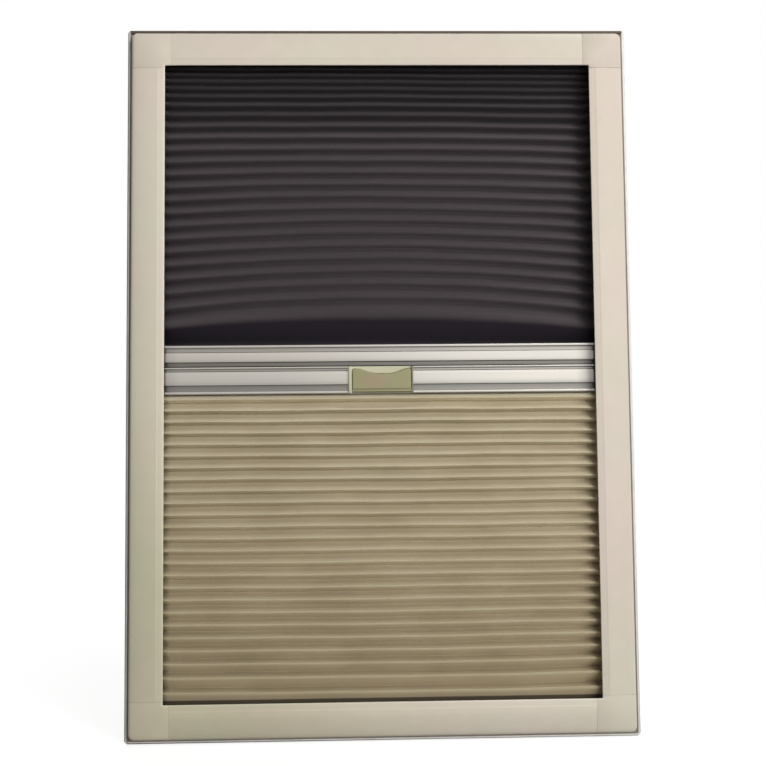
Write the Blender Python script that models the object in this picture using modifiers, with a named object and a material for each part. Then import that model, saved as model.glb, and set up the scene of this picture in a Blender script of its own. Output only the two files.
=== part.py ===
"""Skylight window blind: a cream cassette frame with a pleated insect screen above and a pleated
blackout blind below, each on an aluminium rail. Metres, +Z up, front towards -Y. The origin is the
middle of the depth, at the lower edge of the gasket."""

from math import cos, pi, radians, sin

import bmesh
import bpy
from mathutils import Matrix, Vector

# Frame: overall size, bar section and the parts of its corners
FRAME_WIDTH = 0.500
FRAME_HEIGHT = 0.706
FRAME_DEPTH = 0.030
BAR_FACE = 0.034
WALL = 0.002
CHANNEL_REACH = 0.014
REAR_FLANGE = 0.010
CEILING_DEPTH = 0.012
CHAMBER_START = 0.0172
CHAMBER_WIDTH = 0.0096
FACE_CROWN = 0.0011
ROLLED_EDGE = 0.007
INNER_ROLL = 0.0014
OUTER_ROLL = 0.0028
FLANGE_TAPER = 0.0001
SKIRT = 0.006
CORNER_RADIUS = 0.006
CORNER_ON_SIDE = 0.003
CORNER_ON_END = 0.006
TONGUE_LENGTH = 0.025
GASKET_OUT = 0.005
GASKET_THICK = 0.0057
GASKET_NOSE = 0.0016

# Clearances: between pieces that touch, and between pieces that run in each other
FIT = 0.0003
RUN = 0.0004

# Helpers: how far a cutter overruns, how far joined solids overlap, and what is welded or smoothed
OVERRUN = 0.002
OVERLAP = 0.001
WELD = 0.000001
SHARP_DEGREES = 35
FLAT_DEGREES = 0.1

# Fixing screws
SCREW_HEAD_RADIUS = 0.0033
SCREW_SHANK_RADIUS = 0.00175
SCREW_LENGTH = 0.018
SCREW_DEPTH_PLACE = 0.0065
SCREW_SUNK = 0.0001
BASE_SCREW_HEAD = 0.0021
BASE_SCREW_SHANK = 0.0011
BASE_SCREW_LENGTH = 0.0065
BASE_SCREW_X = 0.0200
SCREW_FROM_CORNER = 0.090

# Rails
MEETING_HEIGHT = 0.370
MEETING_GAP = 0.0008
SCREEN_RAIL_HEIGHT = 0.021
BLIND_RAIL_HEIGHT = 0.0275
RAIL_LIP_DEPTH = 0.0037
RAIL_FACE_DEPTH = 0.0056
RAIL_REAR = 0.0113
RAIL_WALL = 0.0014
RAIL_CAP_LENGTH = 0.0072
CAP_PLUG = 0.012
EASE = 0.0004
FACE_BOW = 0.0002
GROOVE_DEPTH = 0.0014
SCREEN_RECESS = 0.0034
SCREEN_FACE_LOW = 0.0041
SCREEN_FACE_HIGH = 0.0138
SCREEN_LIP = 0.0025
BLIND_RECESS = 0.0029
BLIND_LIP = 0.0030
BLIND_FACE_LOW = 0.0092
BLIND_FACE_HIGH = 0.0230
BLIND_TOP_LIP = 0.0020
BLIND_HOLLOW_FRONT = 0.0026
BLIND_HOLLOW_FLOOR = 0.0096
BLIND_HOLLOW_ROOF = 0.0019
SEAL_BEHIND = 0.0035
SEAL_WIDTH = 0.0034
SEAL_DEPTH = 0.003
SLOT_NECK = 0.004
SLOT_POCKET = 0.008
SLOT_LIP = 0.0012
SLOT_DEPTH = 0.0044

# Cloths
CLOTH_FROM_CHANNEL = 0.0085
CLOTH_THICK = 0.0006
CLOTH_SLOT = 0.0012
CLOTH_TAIL = 0.0025
CLOTH_TURN = 0.0004
SCREEN_FRONT = 0.002
SCREEN_FOLD_DEPTH = 0.0070
SCREEN_PLEATS = 24
SCREEN_PLEAT_SPREAD = 0.27
BLIND_FRONT = -0.0075
BLIND_FOLD_DEPTH = 0.0125
BLIND_PLEATS = 25
BLIND_PLEAT_SPREAD = 0.098
FOLD_DROOP = 0.30
ANCHOR_THICK = 0.0037
ANCHOR_BEHIND_SCREW = 0.0022
SCREEN_ANCHOR_FRONT = 0.003
BLIND_ANCHOR_FRONT = 0.006

# Guide wires
WIRE_RADIUS = 0.0006
WIRE_FROM_CHANNEL = 0.0038
WIRE_END = 0.001
ANCHOR_BLOCK = 0.010
ANCHOR_BLOCK_DEPTH = 0.009

# Handle
HANDLE_WIDTH = 0.065
HANDLE_RECESS = 0.0009
BASE_THICK = 0.0024
LEVER_THICK = 0.0034
LEFT_CHEEK = 0.0036
RIGHT_CHEEK = 0.0016
SCOOP_WIDTH = 0.046
SCOOP_DEPTH = 0.0052
SCOOP_FLANK = 0.40
LEVER_TOP_STEP = 0.0018
PIN_RADIUS = 0.0008
PIN_HEIGHT = 0.0026
PIN_END_WALL = 0.0006
LEVER_CORNER = 0.0022
ARM_HEIGHT = 0.0165
ARM_THICK = 0.0024
ARM_BELOW = 0.0008
ARM_ABOVE = 0.0014
LEVER_BAR = 0.019
TONGUE_WIDTH = 0.008
TONGUE_THICK = 0.002
TONGUE_PLACE = 0.001
TONGUE_RISE = 0.0031
TONGUE_SWING = 0.0045
TONGUE_POCKET = 0.0046
TONGUE_SLOT = 0.004
SPRING_X = 0.0070
SPRING_HEIGHT = 0.0032
SPRING_RADIUS = 0.0017
SPRING_WIRE = 0.00022
SPRING_TURNS = 5

# What follows from them
FRONT = -FRAME_DEPTH / 2
REAR = FRAME_DEPTH / 2
CEILING = FRONT + CEILING_DEPTH
HALF_OPENING = FRAME_WIDTH / 2 - BAR_FACE
OPENING_BOTTOM = GASKET_OUT + BAR_FACE
OPENING_TOP = GASKET_OUT + FRAME_HEIGHT - BAR_FACE
MID_HEIGHT = (OPENING_BOTTOM + OPENING_TOP) / 2
HALF_CHANNEL = HALF_OPENING + CHANNEL_REACH
LIP_Y = FRONT + RAIL_LIP_DEPTH
FACE_Y = FRONT + RAIL_FACE_DEPTH
SCREEN_RAIL_Z = MEETING_HEIGHT + MEETING_GAP / 2
BLIND_RAIL_Z = MEETING_HEIGHT - MEETING_GAP / 2 - BLIND_RAIL_HEIGHT
HALF_CLOTH = HALF_CHANNEL - CLOTH_FROM_CHANNEL
CAP_OUTER = HALF_CHANNEL - RUN
CAP_INNER = CAP_OUTER - RAIL_CAP_LENGTH
HALF_RAIL = CAP_INNER - FIT
WIRE_X = HALF_CHANNEL - WIRE_FROM_CHANNEL
SCREEN_SLOT_Y = SCREEN_FRONT
BLIND_SLOT_Y = BLIND_FRONT + BLIND_FOLD_DEPTH / 2
SCREEN_TOP = OPENING_TOP + CHANNEL_REACH - FIT - ANCHOR_THICK - FIT
BLIND_BOTTOM = OPENING_BOTTOM - CHANNEL_REACH + FIT + ANCHOR_THICK + FIT

for old in list(bpy.data.objects):
    bpy.data.objects.remove(old, do_unlink=True)

parts = bpy.data.collections.new("skylight_blind")
cutters = bpy.data.collections.new("cutters")
for folder in (parts, cutters):
    bpy.context.scene.collection.children.link(folder)


def material(name, red, green, blue, roughness, metallic=0.0):
    made = bpy.data.materials.new(name)
    made.use_nodes = True
    shader = made.node_tree.nodes["Principled BSDF"]
    linear = [(channel / 255) ** 2.2 for channel in (red, green, blue)]
    shader.inputs["Base Color"].default_value = (*linear, 1.0)
    shader.inputs["Roughness"].default_value = roughness
    shader.inputs["Metallic"].default_value = metallic
    return made


cream_plastic = material("cream_plastic", 224, 216, 197, 0.38)
cream_corner = material("cream_corner", 220, 212, 193, 0.42)
dark_rubber = material("dark_rubber", 38, 36, 35, 0.8)
satin_aluminium = material("satin_aluminium", 205, 203, 200, 0.36, 1.0)
grey_plastic = material("grey_plastic", 92, 92, 90, 0.5)
black_net = material("black_net", 52, 47, 50, 0.9)
beige_cloth = material("beige_cloth", 186, 174, 142, 0.9)
pale_plastic = material("pale_plastic", 214, 210, 172, 0.4)
olive_plastic = material("olive_plastic", 156, 152, 114, 0.42)
steel = material("steel", 190, 190, 192, 0.3, 1.0)


def place(name, data, folder=parts):
    made = bpy.data.objects.new(name, data)
    folder.objects.link(made)
    return made


def extruded(name, outlines, length, centre, axis, finish, folder=parts):
    """A flat outline with its holes, drawn out along an axis. X takes (y, z) and Z takes (x, y)."""
    curve = bpy.data.curves.new(name, "CURVE")
    curve.dimensions = "2D"
    curve.fill_mode = "BOTH"
    curve.extrude = length / 2
    for outline in outlines:
        spline = curve.splines.new("POLY")
        spline.points.add(len(outline) - 1)
        for point, (across, up) in zip(spline.points, outline):
            point.co = (across, up, 0, 1)
        spline.use_cyclic_u = True
    curve.materials.append(finish)
    made = place(name, curve, folder)
    turns = {"X": (pi / 2, 0, pi / 2), "Y": (pi / 2, 0, 0), "Z": (0, 0, 0)}
    made.rotation_euler = turns[axis]
    made.location = centre
    return made


def as_mesh(source):
    """The same object as a welded mesh, which a Boolean can work on."""
    bpy.context.view_layer.update()
    graph = bpy.context.evaluated_depsgraph_get()
    mesh = bpy.data.meshes.new_from_object(source.evaluated_get(graph))
    shape = bmesh.new()
    shape.from_mesh(mesh)
    bmesh.ops.remove_doubles(shape, verts=shape.verts, dist=WELD)
    bmesh.ops.dissolve_limit(shape, angle_limit=radians(FLAT_DEGREES), verts=shape.verts, edges=shape.edges)
    bmesh.ops.recalc_face_normals(shape, faces=shape.faces)
    shape.to_mesh(mesh)
    shape.free()
    name, matrix, folder = source.name, source.matrix_world.copy(), source.users_collection[0]
    bpy.data.objects.remove(source)
    made = place(name, mesh, folder)
    mesh.name = name
    made.matrix_world = matrix
    return made


def box(name, low, high, finish=None, folder=cutters):
    shape = bmesh.new()
    bmesh.ops.create_cube(shape, size=1.0)
    size = Vector(high) - Vector(low)
    bmesh.ops.scale(shape, vec=size, verts=shape.verts)
    mesh = bpy.data.meshes.new(name)
    shape.to_mesh(mesh)
    shape.free()
    made = place(name, mesh, folder)
    made.location = (Vector(low) + Vector(high)) / 2
    if finish:
        mesh.materials.append(finish)
    return made


def rod(name, radius, start, end, sides, finish=None, folder=cutters):
    """A round bar between two points."""
    start, end = Vector(start), Vector(end)
    along = end - start
    shape = bmesh.new()
    bmesh.ops.create_cone(
        shape, cap_ends=True, segments=sides, radius1=radius, radius2=radius, depth=along.length
    )
    mesh = bpy.data.meshes.new(name)
    shape.to_mesh(mesh)
    shape.free()
    made = place(name, mesh, folder)
    made.rotation_euler = Vector((0, 0, 1)).rotation_difference(along).to_euler()
    made.location = (start + end) / 2
    if finish:
        mesh.materials.append(finish)
        smooth(mesh)
    return made


def smooth(mesh):
    mesh.shade_smooth()
    mesh.set_sharp_from_angle(angle=radians(SHARP_DEGREES))


def combine(target, other, operation, solver="EXACT"):
    """Cuts or joins another solid, which then stays in the scene as a hidden helper."""
    other.hide_render = True
    other.display_type = "WIRE"
    if other.users_collection[0] is not cutters:
        other.users_collection[0].objects.unlink(other)
        cutters.objects.link(other)
    change = target.modifiers.new(f"{operation.lower()} {other.name}", "BOOLEAN")
    change.operation = operation
    change.solver = solver
    change.object = other


def cut(target, other, solver="EXACT"):
    combine(target, other, "DIFFERENCE", solver)


def join(target, other):
    combine(target, other, "UNION")


def swept(name, loops, stations, finish):
    """A section carried through stations. A station turns a distance from the opening's edge into (x, z)."""
    shape = bmesh.new()
    ends = [[], []]
    for loop in loops:
        rings = []
        for station in stations:
            ring = []
            for reach, depth in loop:
                across, up = station(reach)
                ring.append(shape.verts.new((across, depth, up)))
            rings.append(ring)
        for ring, after in zip(rings, rings[1:]):
            for k in range(len(ring)):
                n = (k + 1) % len(ring)
                shape.faces.new((ring[k], ring[n], after[n], after[k]))
        for side, ring in zip(ends, (rings[0], rings[-1])):
            for k in range(len(ring)):
                side.append(shape.edges.get((ring[k], ring[(k + 1) % len(ring)])))
    for side in ends:
        bmesh.ops.triangle_fill(shape, use_beauty=True, edges=side)
    bmesh.ops.remove_doubles(shape, verts=shape.verts, dist=WELD)
    bmesh.ops.recalc_face_normals(shape, faces=shape.faces)
    mesh = bpy.data.meshes.new(name)
    shape.to_mesh(mesh)
    shape.free()
    mesh.materials.append(finish)
    return place(name, mesh)


def bar_section(crown):
    """The frame's section as (distance out from the opening's edge, y), from the inner edge round."""
    back = FRONT + WALL
    base = CHANNEL_REACH + WALL
    chamber = CHAMBER_START + CHAMBER_WIDTH + WALL
    edge = ROLLED_EDGE
    return [
        (0.0, back - FLANGE_TAPER),
        (0.0, FRONT + INNER_ROLL),
        (0.1 * edge, FRONT + 0.6 * INNER_ROLL),
        (0.3 * edge, FRONT + 0.3 * INNER_ROLL),
        (0.8 * edge, FRONT + 0.2 * INNER_ROLL),
        (edge, FRONT),
        (0.5 * BAR_FACE, FRONT + 0.1 * crown),
        (0.75 * BAR_FACE, FRONT + 0.45 * crown),
        (BAR_FACE - 0.9 * OUTER_ROLL, FRONT + crown),
        (BAR_FACE - 0.3 * OUTER_ROLL, FRONT + crown + 0.35 * OUTER_ROLL),
        (BAR_FACE, FRONT + crown + OUTER_ROLL),
        (BAR_FACE, FRONT + SKIRT),
        (BAR_FACE - WALL, FRONT + SKIRT),
        (BAR_FACE - WALL, back + crown + 0.5 * WALL),
        (chamber, back + 0.4 * crown),
        (chamber, CEILING),
        (base, CEILING),
        (base, REAR),
        (base - WALL - REAR_FLANGE, REAR),
        (base - WALL - REAR_FLANGE, REAR - WALL),
        (CHANNEL_REACH, REAR - WALL),
        (CHANNEL_REACH, back),
    ]


def chamber_section(gap=0.0):
    """The hollow behind the face that takes the corner pieces' tongues."""
    inner = CHAMBER_START + gap
    outer = CHAMBER_START + CHAMBER_WIDTH - gap
    back = FRONT + WALL + gap
    return [(inner, back), (outer, back), (outer, CEILING - WALL - gap), (inner, CEILING - WALL - gap)]


def gasket_section():
    inner = CHAMBER_START + CHAMBER_WIDTH + WALL + FIT
    outer = BAR_FACE + GASKET_OUT
    low = CEILING - GASKET_THICK + FIT
    nose = GASKET_NOSE
    return [
        (inner, low),
        (outer - nose, low),
        (outer - 0.3 * nose, low + 0.4 * nose),
        (outer, low + nose),
        (outer, CEILING - nose),
        (outer - nose, CEILING),
        (inner, CEILING),
    ]


def edge_of(side_x, side_z):
    """The opening's corner on one side."""
    return side_x * HALF_OPENING, OPENING_TOP if side_z > 0 else OPENING_BOTTOM


def corner_piece(name, side_x, side_z):
    corner_x, corner_z = edge_of(side_x, side_z)
    turn = BAR_FACE - CORNER_RADIUS

    def side_end(reach):
        return corner_x + side_x * reach, corner_z - side_z * CORNER_ON_SIDE

    def bar_end(reach):
        return corner_x - side_x * CORNER_ON_END, corner_z + side_z * reach

    def around(angle):
        def station(reach):
            inner = min(reach, turn)
            rest = reach - inner
            return (
                corner_x + side_x * (inner + rest * cos(angle)),
                corner_z + side_z * (inner + rest * sin(angle)),
            )

        return station

    arc = [around(radians(15 * step)) for step in range(7)]
    made = swept(name, [bar_section(FACE_CROWN * 0.6)], [side_end, *arc, bar_end], cream_corner)
    (inner, back), _, (outer, deep), _ = chamber_section(FIT)
    reach_z = corner_z - side_z * (CORNER_ON_SIDE + TONGUE_LENGTH)
    root_z = corner_z - side_z * (CORNER_ON_SIDE - OVERLAP)
    reach_x = corner_x - side_x * (CORNER_ON_END + TONGUE_LENGTH)
    root_x = corner_x - side_x * (CORNER_ON_END - OVERLAP)
    for label, ends in (
        ("up", (corner_x + side_x * inner, corner_x + side_x * outer, reach_z, root_z)),
        ("across", (reach_x, root_x, corner_z + side_z * inner, corner_z + side_z * outer)),
    ):
        x0, x1, z0, z1 = ends
        low = (min(x0, x1), back, min(z0, z1))
        high = (max(x0, x1), deep, max(z0, z1))
        join(made, box(f"{name}_tongue_{label}", low, high))
    return made


def side_profile(name, side_x):
    section = [bar_section(FACE_CROWN), chamber_section()]
    outlines = [[(side_x * (HALF_OPENING + u), y) for u, y in loop] for loop in section]
    length = OPENING_TOP - OPENING_BOTTOM - 2 * (CORNER_ON_SIDE + FIT)
    return as_mesh(extruded(name, outlines, length, (0, 0, MID_HEIGHT), "Z", cream_plastic))


def end_profile(name, side_z):
    section = [bar_section(FACE_CROWN), chamber_section()]
    _, edge_z = edge_of(1, side_z)
    outlines = [[(y, edge_z + side_z * u) for u, y in loop] for loop in section]
    length = 2 * (HALF_OPENING - CORNER_ON_END - FIT)
    return as_mesh(extruded(name, outlines, length, (0, 0, 0), "X", cream_plastic))


def gasket(name, side_x, side_z):
    """One straight strip with mitred ends: an upright one for side_x, a level one for side_z."""
    trim = FIT / 2

    def station(sign):
        def place_at(reach):
            if side_x:
                end = OPENING_TOP if sign > 0 else OPENING_BOTTOM
                return side_x * (HALF_OPENING + reach), end + sign * (reach - trim)
            _, edge_z = edge_of(1, side_z)
            return sign * (HALF_OPENING + reach - trim), edge_z + side_z * reach

        return place_at

    return swept(name, [gasket_section()], [station(-1), station(1)], dark_rubber)


def screw_places():
    """Each fixing screw as (head point, outward direction)."""
    found = []
    heights = (OPENING_BOTTOM + SCREW_FROM_CORNER, MID_HEIGHT, OPENING_TOP - SCREW_FROM_CORNER)
    for side in (-1, 1):
        for height in heights:
            found.append(((side * HALF_CHANNEL, SCREW_DEPTH_PLACE, height), (side, 0, 0)))
    across = HALF_OPENING - SCREW_FROM_CORNER
    seat = ANCHOR_THICK + FIT
    for side, edge in ((-1, OPENING_BOTTOM - CHANNEL_REACH), (1, OPENING_TOP + CHANNEL_REACH)):
        for end in (-1, 1):
            head = (end * across, SCREW_DEPTH_PLACE, edge - side * seat)
            found.append((head, (0, 0, side)))
    return found


def frame_screw_sizes():
    return SCREW_HEAD_RADIUS, SCREW_SHANK_RADIUS, SCREW_LENGTH


def base_screw_sizes():
    return BASE_SCREW_HEAD, BASE_SCREW_SHANK, BASE_SCREW_LENGTH


def countersunk(name, head_point, outward, sizes, gap, finish, folder):
    """A countersunk screw, or without a finish the hole for one."""
    head, shank, length = sizes
    if finish:
        profile = [
            (0.0, 0.3 * head),
            (0.36 * head, 0.3 * head),
            (0.42 * head, gap),
            (0.94 * head, gap),
            (head, 0.06 * head),
            (shank, head - shank + 0.06 * head),
            (shank, length - 2 * shank),
            (0.0, length),
        ]
    else:
        profile = [
            (0.0, 0.0),
            (head + gap, 0.0),
            (shank + gap, head - shank),
            (shank + gap, length),
            (0.0, length + OVERLAP),
        ]
    shape = bmesh.new()
    line = [shape.verts.new((radius, 0, -depth)) for radius, depth in profile]
    for start, end in zip(line, line[1:]):
        shape.edges.new((start, end))
    mesh = bpy.data.meshes.new(name)
    shape.to_mesh(mesh)
    shape.free()
    made = place(name, mesh, folder)
    turn = made.modifiers.new("turned", "SCREW")
    turn.steps = turn.render_steps = 14
    turn.use_merge_vertices = True
    turn.merge_threshold = WELD
    made.rotation_euler = Vector((0, 0, -1)).rotation_difference(Vector(outward)).to_euler()
    made.location = Vector(head_point) - (Vector(outward) * (0 if finish else SCREW_SUNK))
    if finish:
        mesh.materials.append(finish)
    return made


def slot_outline(middle, edge, inward):
    """The T-slot that opens at a rail's edge, as corners from one side of its mouth to the other."""
    neck, pocket = SLOT_NECK / 2, SLOT_POCKET / 2
    lip, deep = edge + inward * SLOT_LIP, edge + inward * SLOT_DEPTH
    return [
        (middle - neck, edge),
        (middle - neck, lip),
        (middle - pocket, lip),
        (middle - pocket, deep),
        (middle + pocket, deep),
        (middle + pocket, lip),
        (middle + neck, lip),
        (middle + neck, edge),
    ]


def clamp_outline(middle, edge, inward):
    """The slotted strip that fills a T-slot and grips the cloth's tail."""
    neck, pocket, slit = SLOT_NECK / 2 - FIT, SLOT_POCKET / 2 - FIT, CLOTH_SLOT / 2
    lip = edge + inward * (SLOT_LIP + FIT)
    deep = edge + inward * (SLOT_DEPTH - FIT)
    floor = edge + inward * (CLOTH_TAIL + FIT)
    return [
        (middle - neck, edge),
        (middle - slit, edge),
        (middle - slit, floor),
        (middle + slit, floor),
        (middle + slit, edge),
        (middle + neck, edge),
        (middle + neck, lip),
        (middle + pocket, lip),
        (middle + pocket, deep),
        (middle - pocket, deep),
        (middle - pocket, lip),
        (middle - neck, lip),
    ]


def anchor_outline(slot_y, low_y, high_y, wall_z, inward):
    """The slotted strip that holds a cloth's fixed end against the channel's base wall."""
    slit = CLOTH_SLOT / 2
    seat = wall_z + inward * FIT
    face = seat + inward * ANCHOR_THICK
    floor = face - inward * (CLOTH_TAIL + FIT)
    return [
        (low_y, seat),
        (high_y, seat),
        (high_y, face),
        (slot_y + slit, face),
        (slot_y + slit, floor),
        (slot_y - slit, floor),
        (slot_y - slit, face),
        (low_y, face),
    ]


def screen_rail_outlines():
    low, high = SCREEN_RAIL_Z, SCREEN_RAIL_Z + SCREEN_RAIL_HEIGHT
    recess = FACE_Y + SCREEN_RECESS
    groove = FACE_Y + GROOVE_DEPTH
    face_low, face_high = low + SCREEN_FACE_LOW, low + SCREEN_FACE_HIGH
    lip = high - SCREEN_LIP
    seal_front, seal_back = seal_groove()
    outer = [
        (recess, low),
        (recess, face_low - EASE / 4),
        (FACE_Y + EASE, face_low),
        (FACE_Y, face_low + EASE),
        (FACE_Y - FACE_BOW, (face_low + face_high) / 2),
        (FACE_Y, face_high),
        (groove, face_high + EASE),
        (groove, lip - EASE / 2),
        (LIP_Y + EASE, lip),
        (LIP_Y, lip + EASE),
        (LIP_Y, high - EASE),
        (LIP_Y + EASE, high),
        *slot_outline(SCREEN_SLOT_Y, high, -1),
        (RAIL_REAR - EASE, high),
        (RAIL_REAR, high - EASE),
        (RAIL_REAR, low + EASE),
        (RAIL_REAR - EASE, low),
        (seal_back, low),
        (seal_back, low + SEAL_DEPTH),
        (seal_front, low + SEAL_DEPTH),
        (seal_front, low),
    ]
    return [outer, hollow_outline(low, high, False)]


def rail_hollow(low, high, slot_below):
    """The rail's hollow as front, back, floor and roof, which the end caps' plugs fill."""
    back = RAIL_REAR - RAIL_WALL
    if slot_below:
        return FACE_Y + BLIND_HOLLOW_FRONT, back, low + BLIND_HOLLOW_FLOOR, high - BLIND_HOLLOW_ROOF
    front = FACE_Y + SCREEN_RECESS + RAIL_WALL
    return front, back, low + SEAL_DEPTH + RAIL_WALL, high - SLOT_DEPTH - RAIL_WALL


def hollow_outline(low, high, slot_below):
    front, back, floor, roof = rail_hollow(low, high, slot_below)
    return [(front, floor), (back, floor), (back, roof), (front, roof)]


def seal_groove():
    front = SCREEN_SLOT_Y + SEAL_BEHIND
    return front, front + SEAL_WIDTH


def blind_rail_outlines():
    low, high = BLIND_RAIL_Z, BLIND_RAIL_Z + BLIND_RAIL_HEIGHT
    recess = FACE_Y + BLIND_RECESS
    groove = FACE_Y + GROOVE_DEPTH
    face_low, face_high = low + BLIND_FACE_LOW, low + BLIND_FACE_HIGH
    lip, top_lip = low + BLIND_LIP, high - BLIND_TOP_LIP
    outer = [
        (LIP_Y + EASE, low),
        (LIP_Y, low + EASE),
        (LIP_Y, lip - EASE),
        (LIP_Y + EASE, lip),
        (recess, lip + EASE / 2),
        (recess, face_low - EASE),
        (FACE_Y + EASE, face_low),
        (FACE_Y, face_low + EASE),
        (FACE_Y - FACE_BOW, (face_low + face_high) / 2),
        (FACE_Y, face_high),
        (groove, face_high + EASE),
        (groove, top_lip - EASE / 2),
        (LIP_Y + EASE, top_lip),
        (LIP_Y, top_lip + EASE),
        (LIP_Y, high - EASE),
        (LIP_Y + EASE, high),
        (RAIL_REAR - EASE, high),
        (RAIL_REAR, high - EASE),
        (RAIL_REAR, low + EASE),
        (RAIL_REAR - EASE, low),
        *reversed(slot_outline(BLIND_SLOT_Y, low, 1)),
    ]
    return [outer, hollow_outline(low, high, True)]


def end_cap(name, side_x, low, high, slot_below):
    """A moulded shoe that runs in the side channel, with a plug that fills the rail's hollow."""
    inner, outer = sorted((side_x * CAP_INNER, side_x * CAP_OUTER))
    front, back = FRONT + WALL + RUN, REAR - WALL - RUN
    made = box(name, (inner, front, low + FIT), (outer, back, high - FIT), grey_plastic, parts)
    plug_front, plug_back, plug_floor, plug_roof = rail_hollow(low, high, slot_below)
    near, far = sorted((side_x * (CAP_INNER + OVERLAP), side_x * (CAP_INNER - CAP_PLUG)))
    plug = box(
        f"{name}_plug",
        (near, plug_front + FIT, plug_floor + FIT),
        (far, plug_back - FIT, plug_roof - FIT),
    )
    join(made, plug)
    hole = rod(
        f"{name}_hole",
        WIRE_RADIUS + RUN,
        (side_x * WIRE_X, 0, low - OVERRUN),
        (side_x * WIRE_X, 0, high + OVERRUN),
        10,
    )
    cut(made, hole)
    return made


def cloth(name, fixed_z, rail_z, slot_y, front, fold_depth, pleats, spread, finish):
    """A pleated cloth: one zigzag sheet, with a straight tail at each end for its clamp."""
    top, bottom = max(fixed_z, rail_z), min(fixed_z, rail_z)
    path = [(slot_y, top + CLOTH_TAIL - FIT)]
    if abs(slot_y - front) > CLOTH_THICK:
        path.append((slot_y, top - CLOTH_TURN))
    level = top - 2 * CLOTH_TURN
    usable = top - bottom - 4 * CLOTH_TURN
    for pleat in range(pleats):
        place_in = 2 * (pleat + 0.5) / pleats - 1
        pitch = usable / pleats * (1 + spread * place_in)
        if pleat == 0 and abs(slot_y - front) <= CLOTH_THICK:
            path.append((front, level))
        path.append((front + fold_depth, level - FOLD_DROOP * pitch))
        path.append((front, level - pitch))
        level -= pitch
    if abs(slot_y - front) > CLOTH_THICK:
        path.append((slot_y, bottom + CLOTH_TURN))
    path.append((slot_y, bottom - CLOTH_TAIL + FIT))
    shape = bmesh.new()
    line = [shape.verts.new((-HALF_CLOTH, y, z)) for y, z in path]
    edges = [shape.edges.new(pair) for pair in zip(line, line[1:])]
    drawn = bmesh.ops.extrude_edge_only(shape, edges=edges)["geom"]
    moved = [item for item in drawn if isinstance(item, bmesh.types.BMVert)]
    bmesh.ops.translate(shape, verts=moved, vec=(2 * HALF_CLOTH, 0, 0))
    mesh = bpy.data.meshes.new(name)
    shape.to_mesh(mesh)
    shape.free()
    mesh.materials.append(finish)
    made = place(name, mesh)
    wall = made.modifiers.new("cloth", "SOLIDIFY")
    wall.thickness = CLOTH_THICK
    wall.offset = 0.0
    wall.use_even_offset = True
    flat = sum((Vector(b) - Vector(a)).length for a, b in zip(path, path[1:]))
    print(name, "is cut", round(2 * HALF_CLOTH, 4), "wide and", round(flat, 4), "long")
    return made


def coil(name, start, end, radius, wire, turns, finish):
    """A round spring between two points on a line along Y."""
    points = 9
    curve = bpy.data.curves.new(name, "CURVE")
    curve.dimensions = "3D"
    curve.bevel_depth = wire
    curve.bevel_resolution = 1
    curve.use_fill_caps = True
    spline = curve.splines.new("POLY")
    count = turns * points
    spline.points.add(count)
    length = end[1] - start[1] - 2 * wire
    for step in range(count + 1):
        angle = 2 * pi * step / points
        share = step / count
        spline.points[step].co = (
            start[0] + (radius - wire) * cos(angle),
            start[1] + wire + length * share,
            start[2] + (radius - wire) * sin(angle),
            1,
        )
    curve.materials.append(finish)
    return place(name, curve)


def carrier(name, location):
    """An empty on a joint's axis, which its moving pieces hang from."""
    made = place(name, None)
    made.location = location
    return made


def hang(pieces, empty):
    for piece in pieces:
        piece.parent = empty
        piece.matrix_parent_inverse = Matrix.Translation(-empty.location)


def build_frame():
    profiles = [
        side_profile("left_profile", -1),
        side_profile("right_profile", 1),
        end_profile("bottom_profile", -1),
        end_profile("top_profile", 1),
    ]
    for name, side_x, side_z in (
        ("corner_top_left", -1, 1),
        ("corner_top_right", 1, 1),
        ("corner_bottom_left", -1, -1),
        ("corner_bottom_right", 1, -1),
    ):
        corner_piece(name, side_x, side_z)
    gasket("gasket_left", -1, 0)
    gasket("gasket_right", 1, 0)
    gasket("gasket_bottom", 0, -1)
    gasket("gasket_top", 0, 1)
    return profiles


def build_anchors():
    half = CAP_INNER - FIT
    top_wall = OPENING_TOP + CHANNEL_REACH
    bottom_wall = OPENING_BOTTOM - CHANNEL_REACH
    back = SCREW_DEPTH_PLACE + SCREW_HEAD_RADIUS + ANCHOR_BEHIND_SCREW
    top = extruded(
        "screen_anchor",
        [anchor_outline(SCREEN_SLOT_Y, SCREEN_SLOT_Y - SCREEN_ANCHOR_FRONT, back, top_wall, -1)],
        2 * half,
        (0, 0, 0),
        "X",
        grey_plastic,
    )
    bottom = extruded(
        "blind_anchor",
        [anchor_outline(BLIND_SLOT_Y, BLIND_SLOT_Y - BLIND_ANCHOR_FRONT, back, bottom_wall, 1)],
        2 * half,
        (0, 0, 0),
        "X",
        grey_plastic,
    )
    return as_mesh(bottom), as_mesh(top)


def build_screws(profiles, anchors):
    left, right, bottom, top = profiles
    for number, (head, outward) in enumerate(screw_places(), 1):
        countersunk(f"frame_screw_{number}", head, outward, frame_screw_sizes(), SCREW_SUNK, steel, parts)
        hole = countersunk(f"screw_hole_{number}", head, outward, frame_screw_sizes(), FIT, None, cutters)
        if outward[0]:
            cut(left if outward[0] < 0 else right, hole, "MANIFOLD")
        else:
            cut(bottom if outward[2] < 0 else top, hole, "MANIFOLD")
            cut(anchors[0] if outward[2] < 0 else anchors[1], hole)


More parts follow.
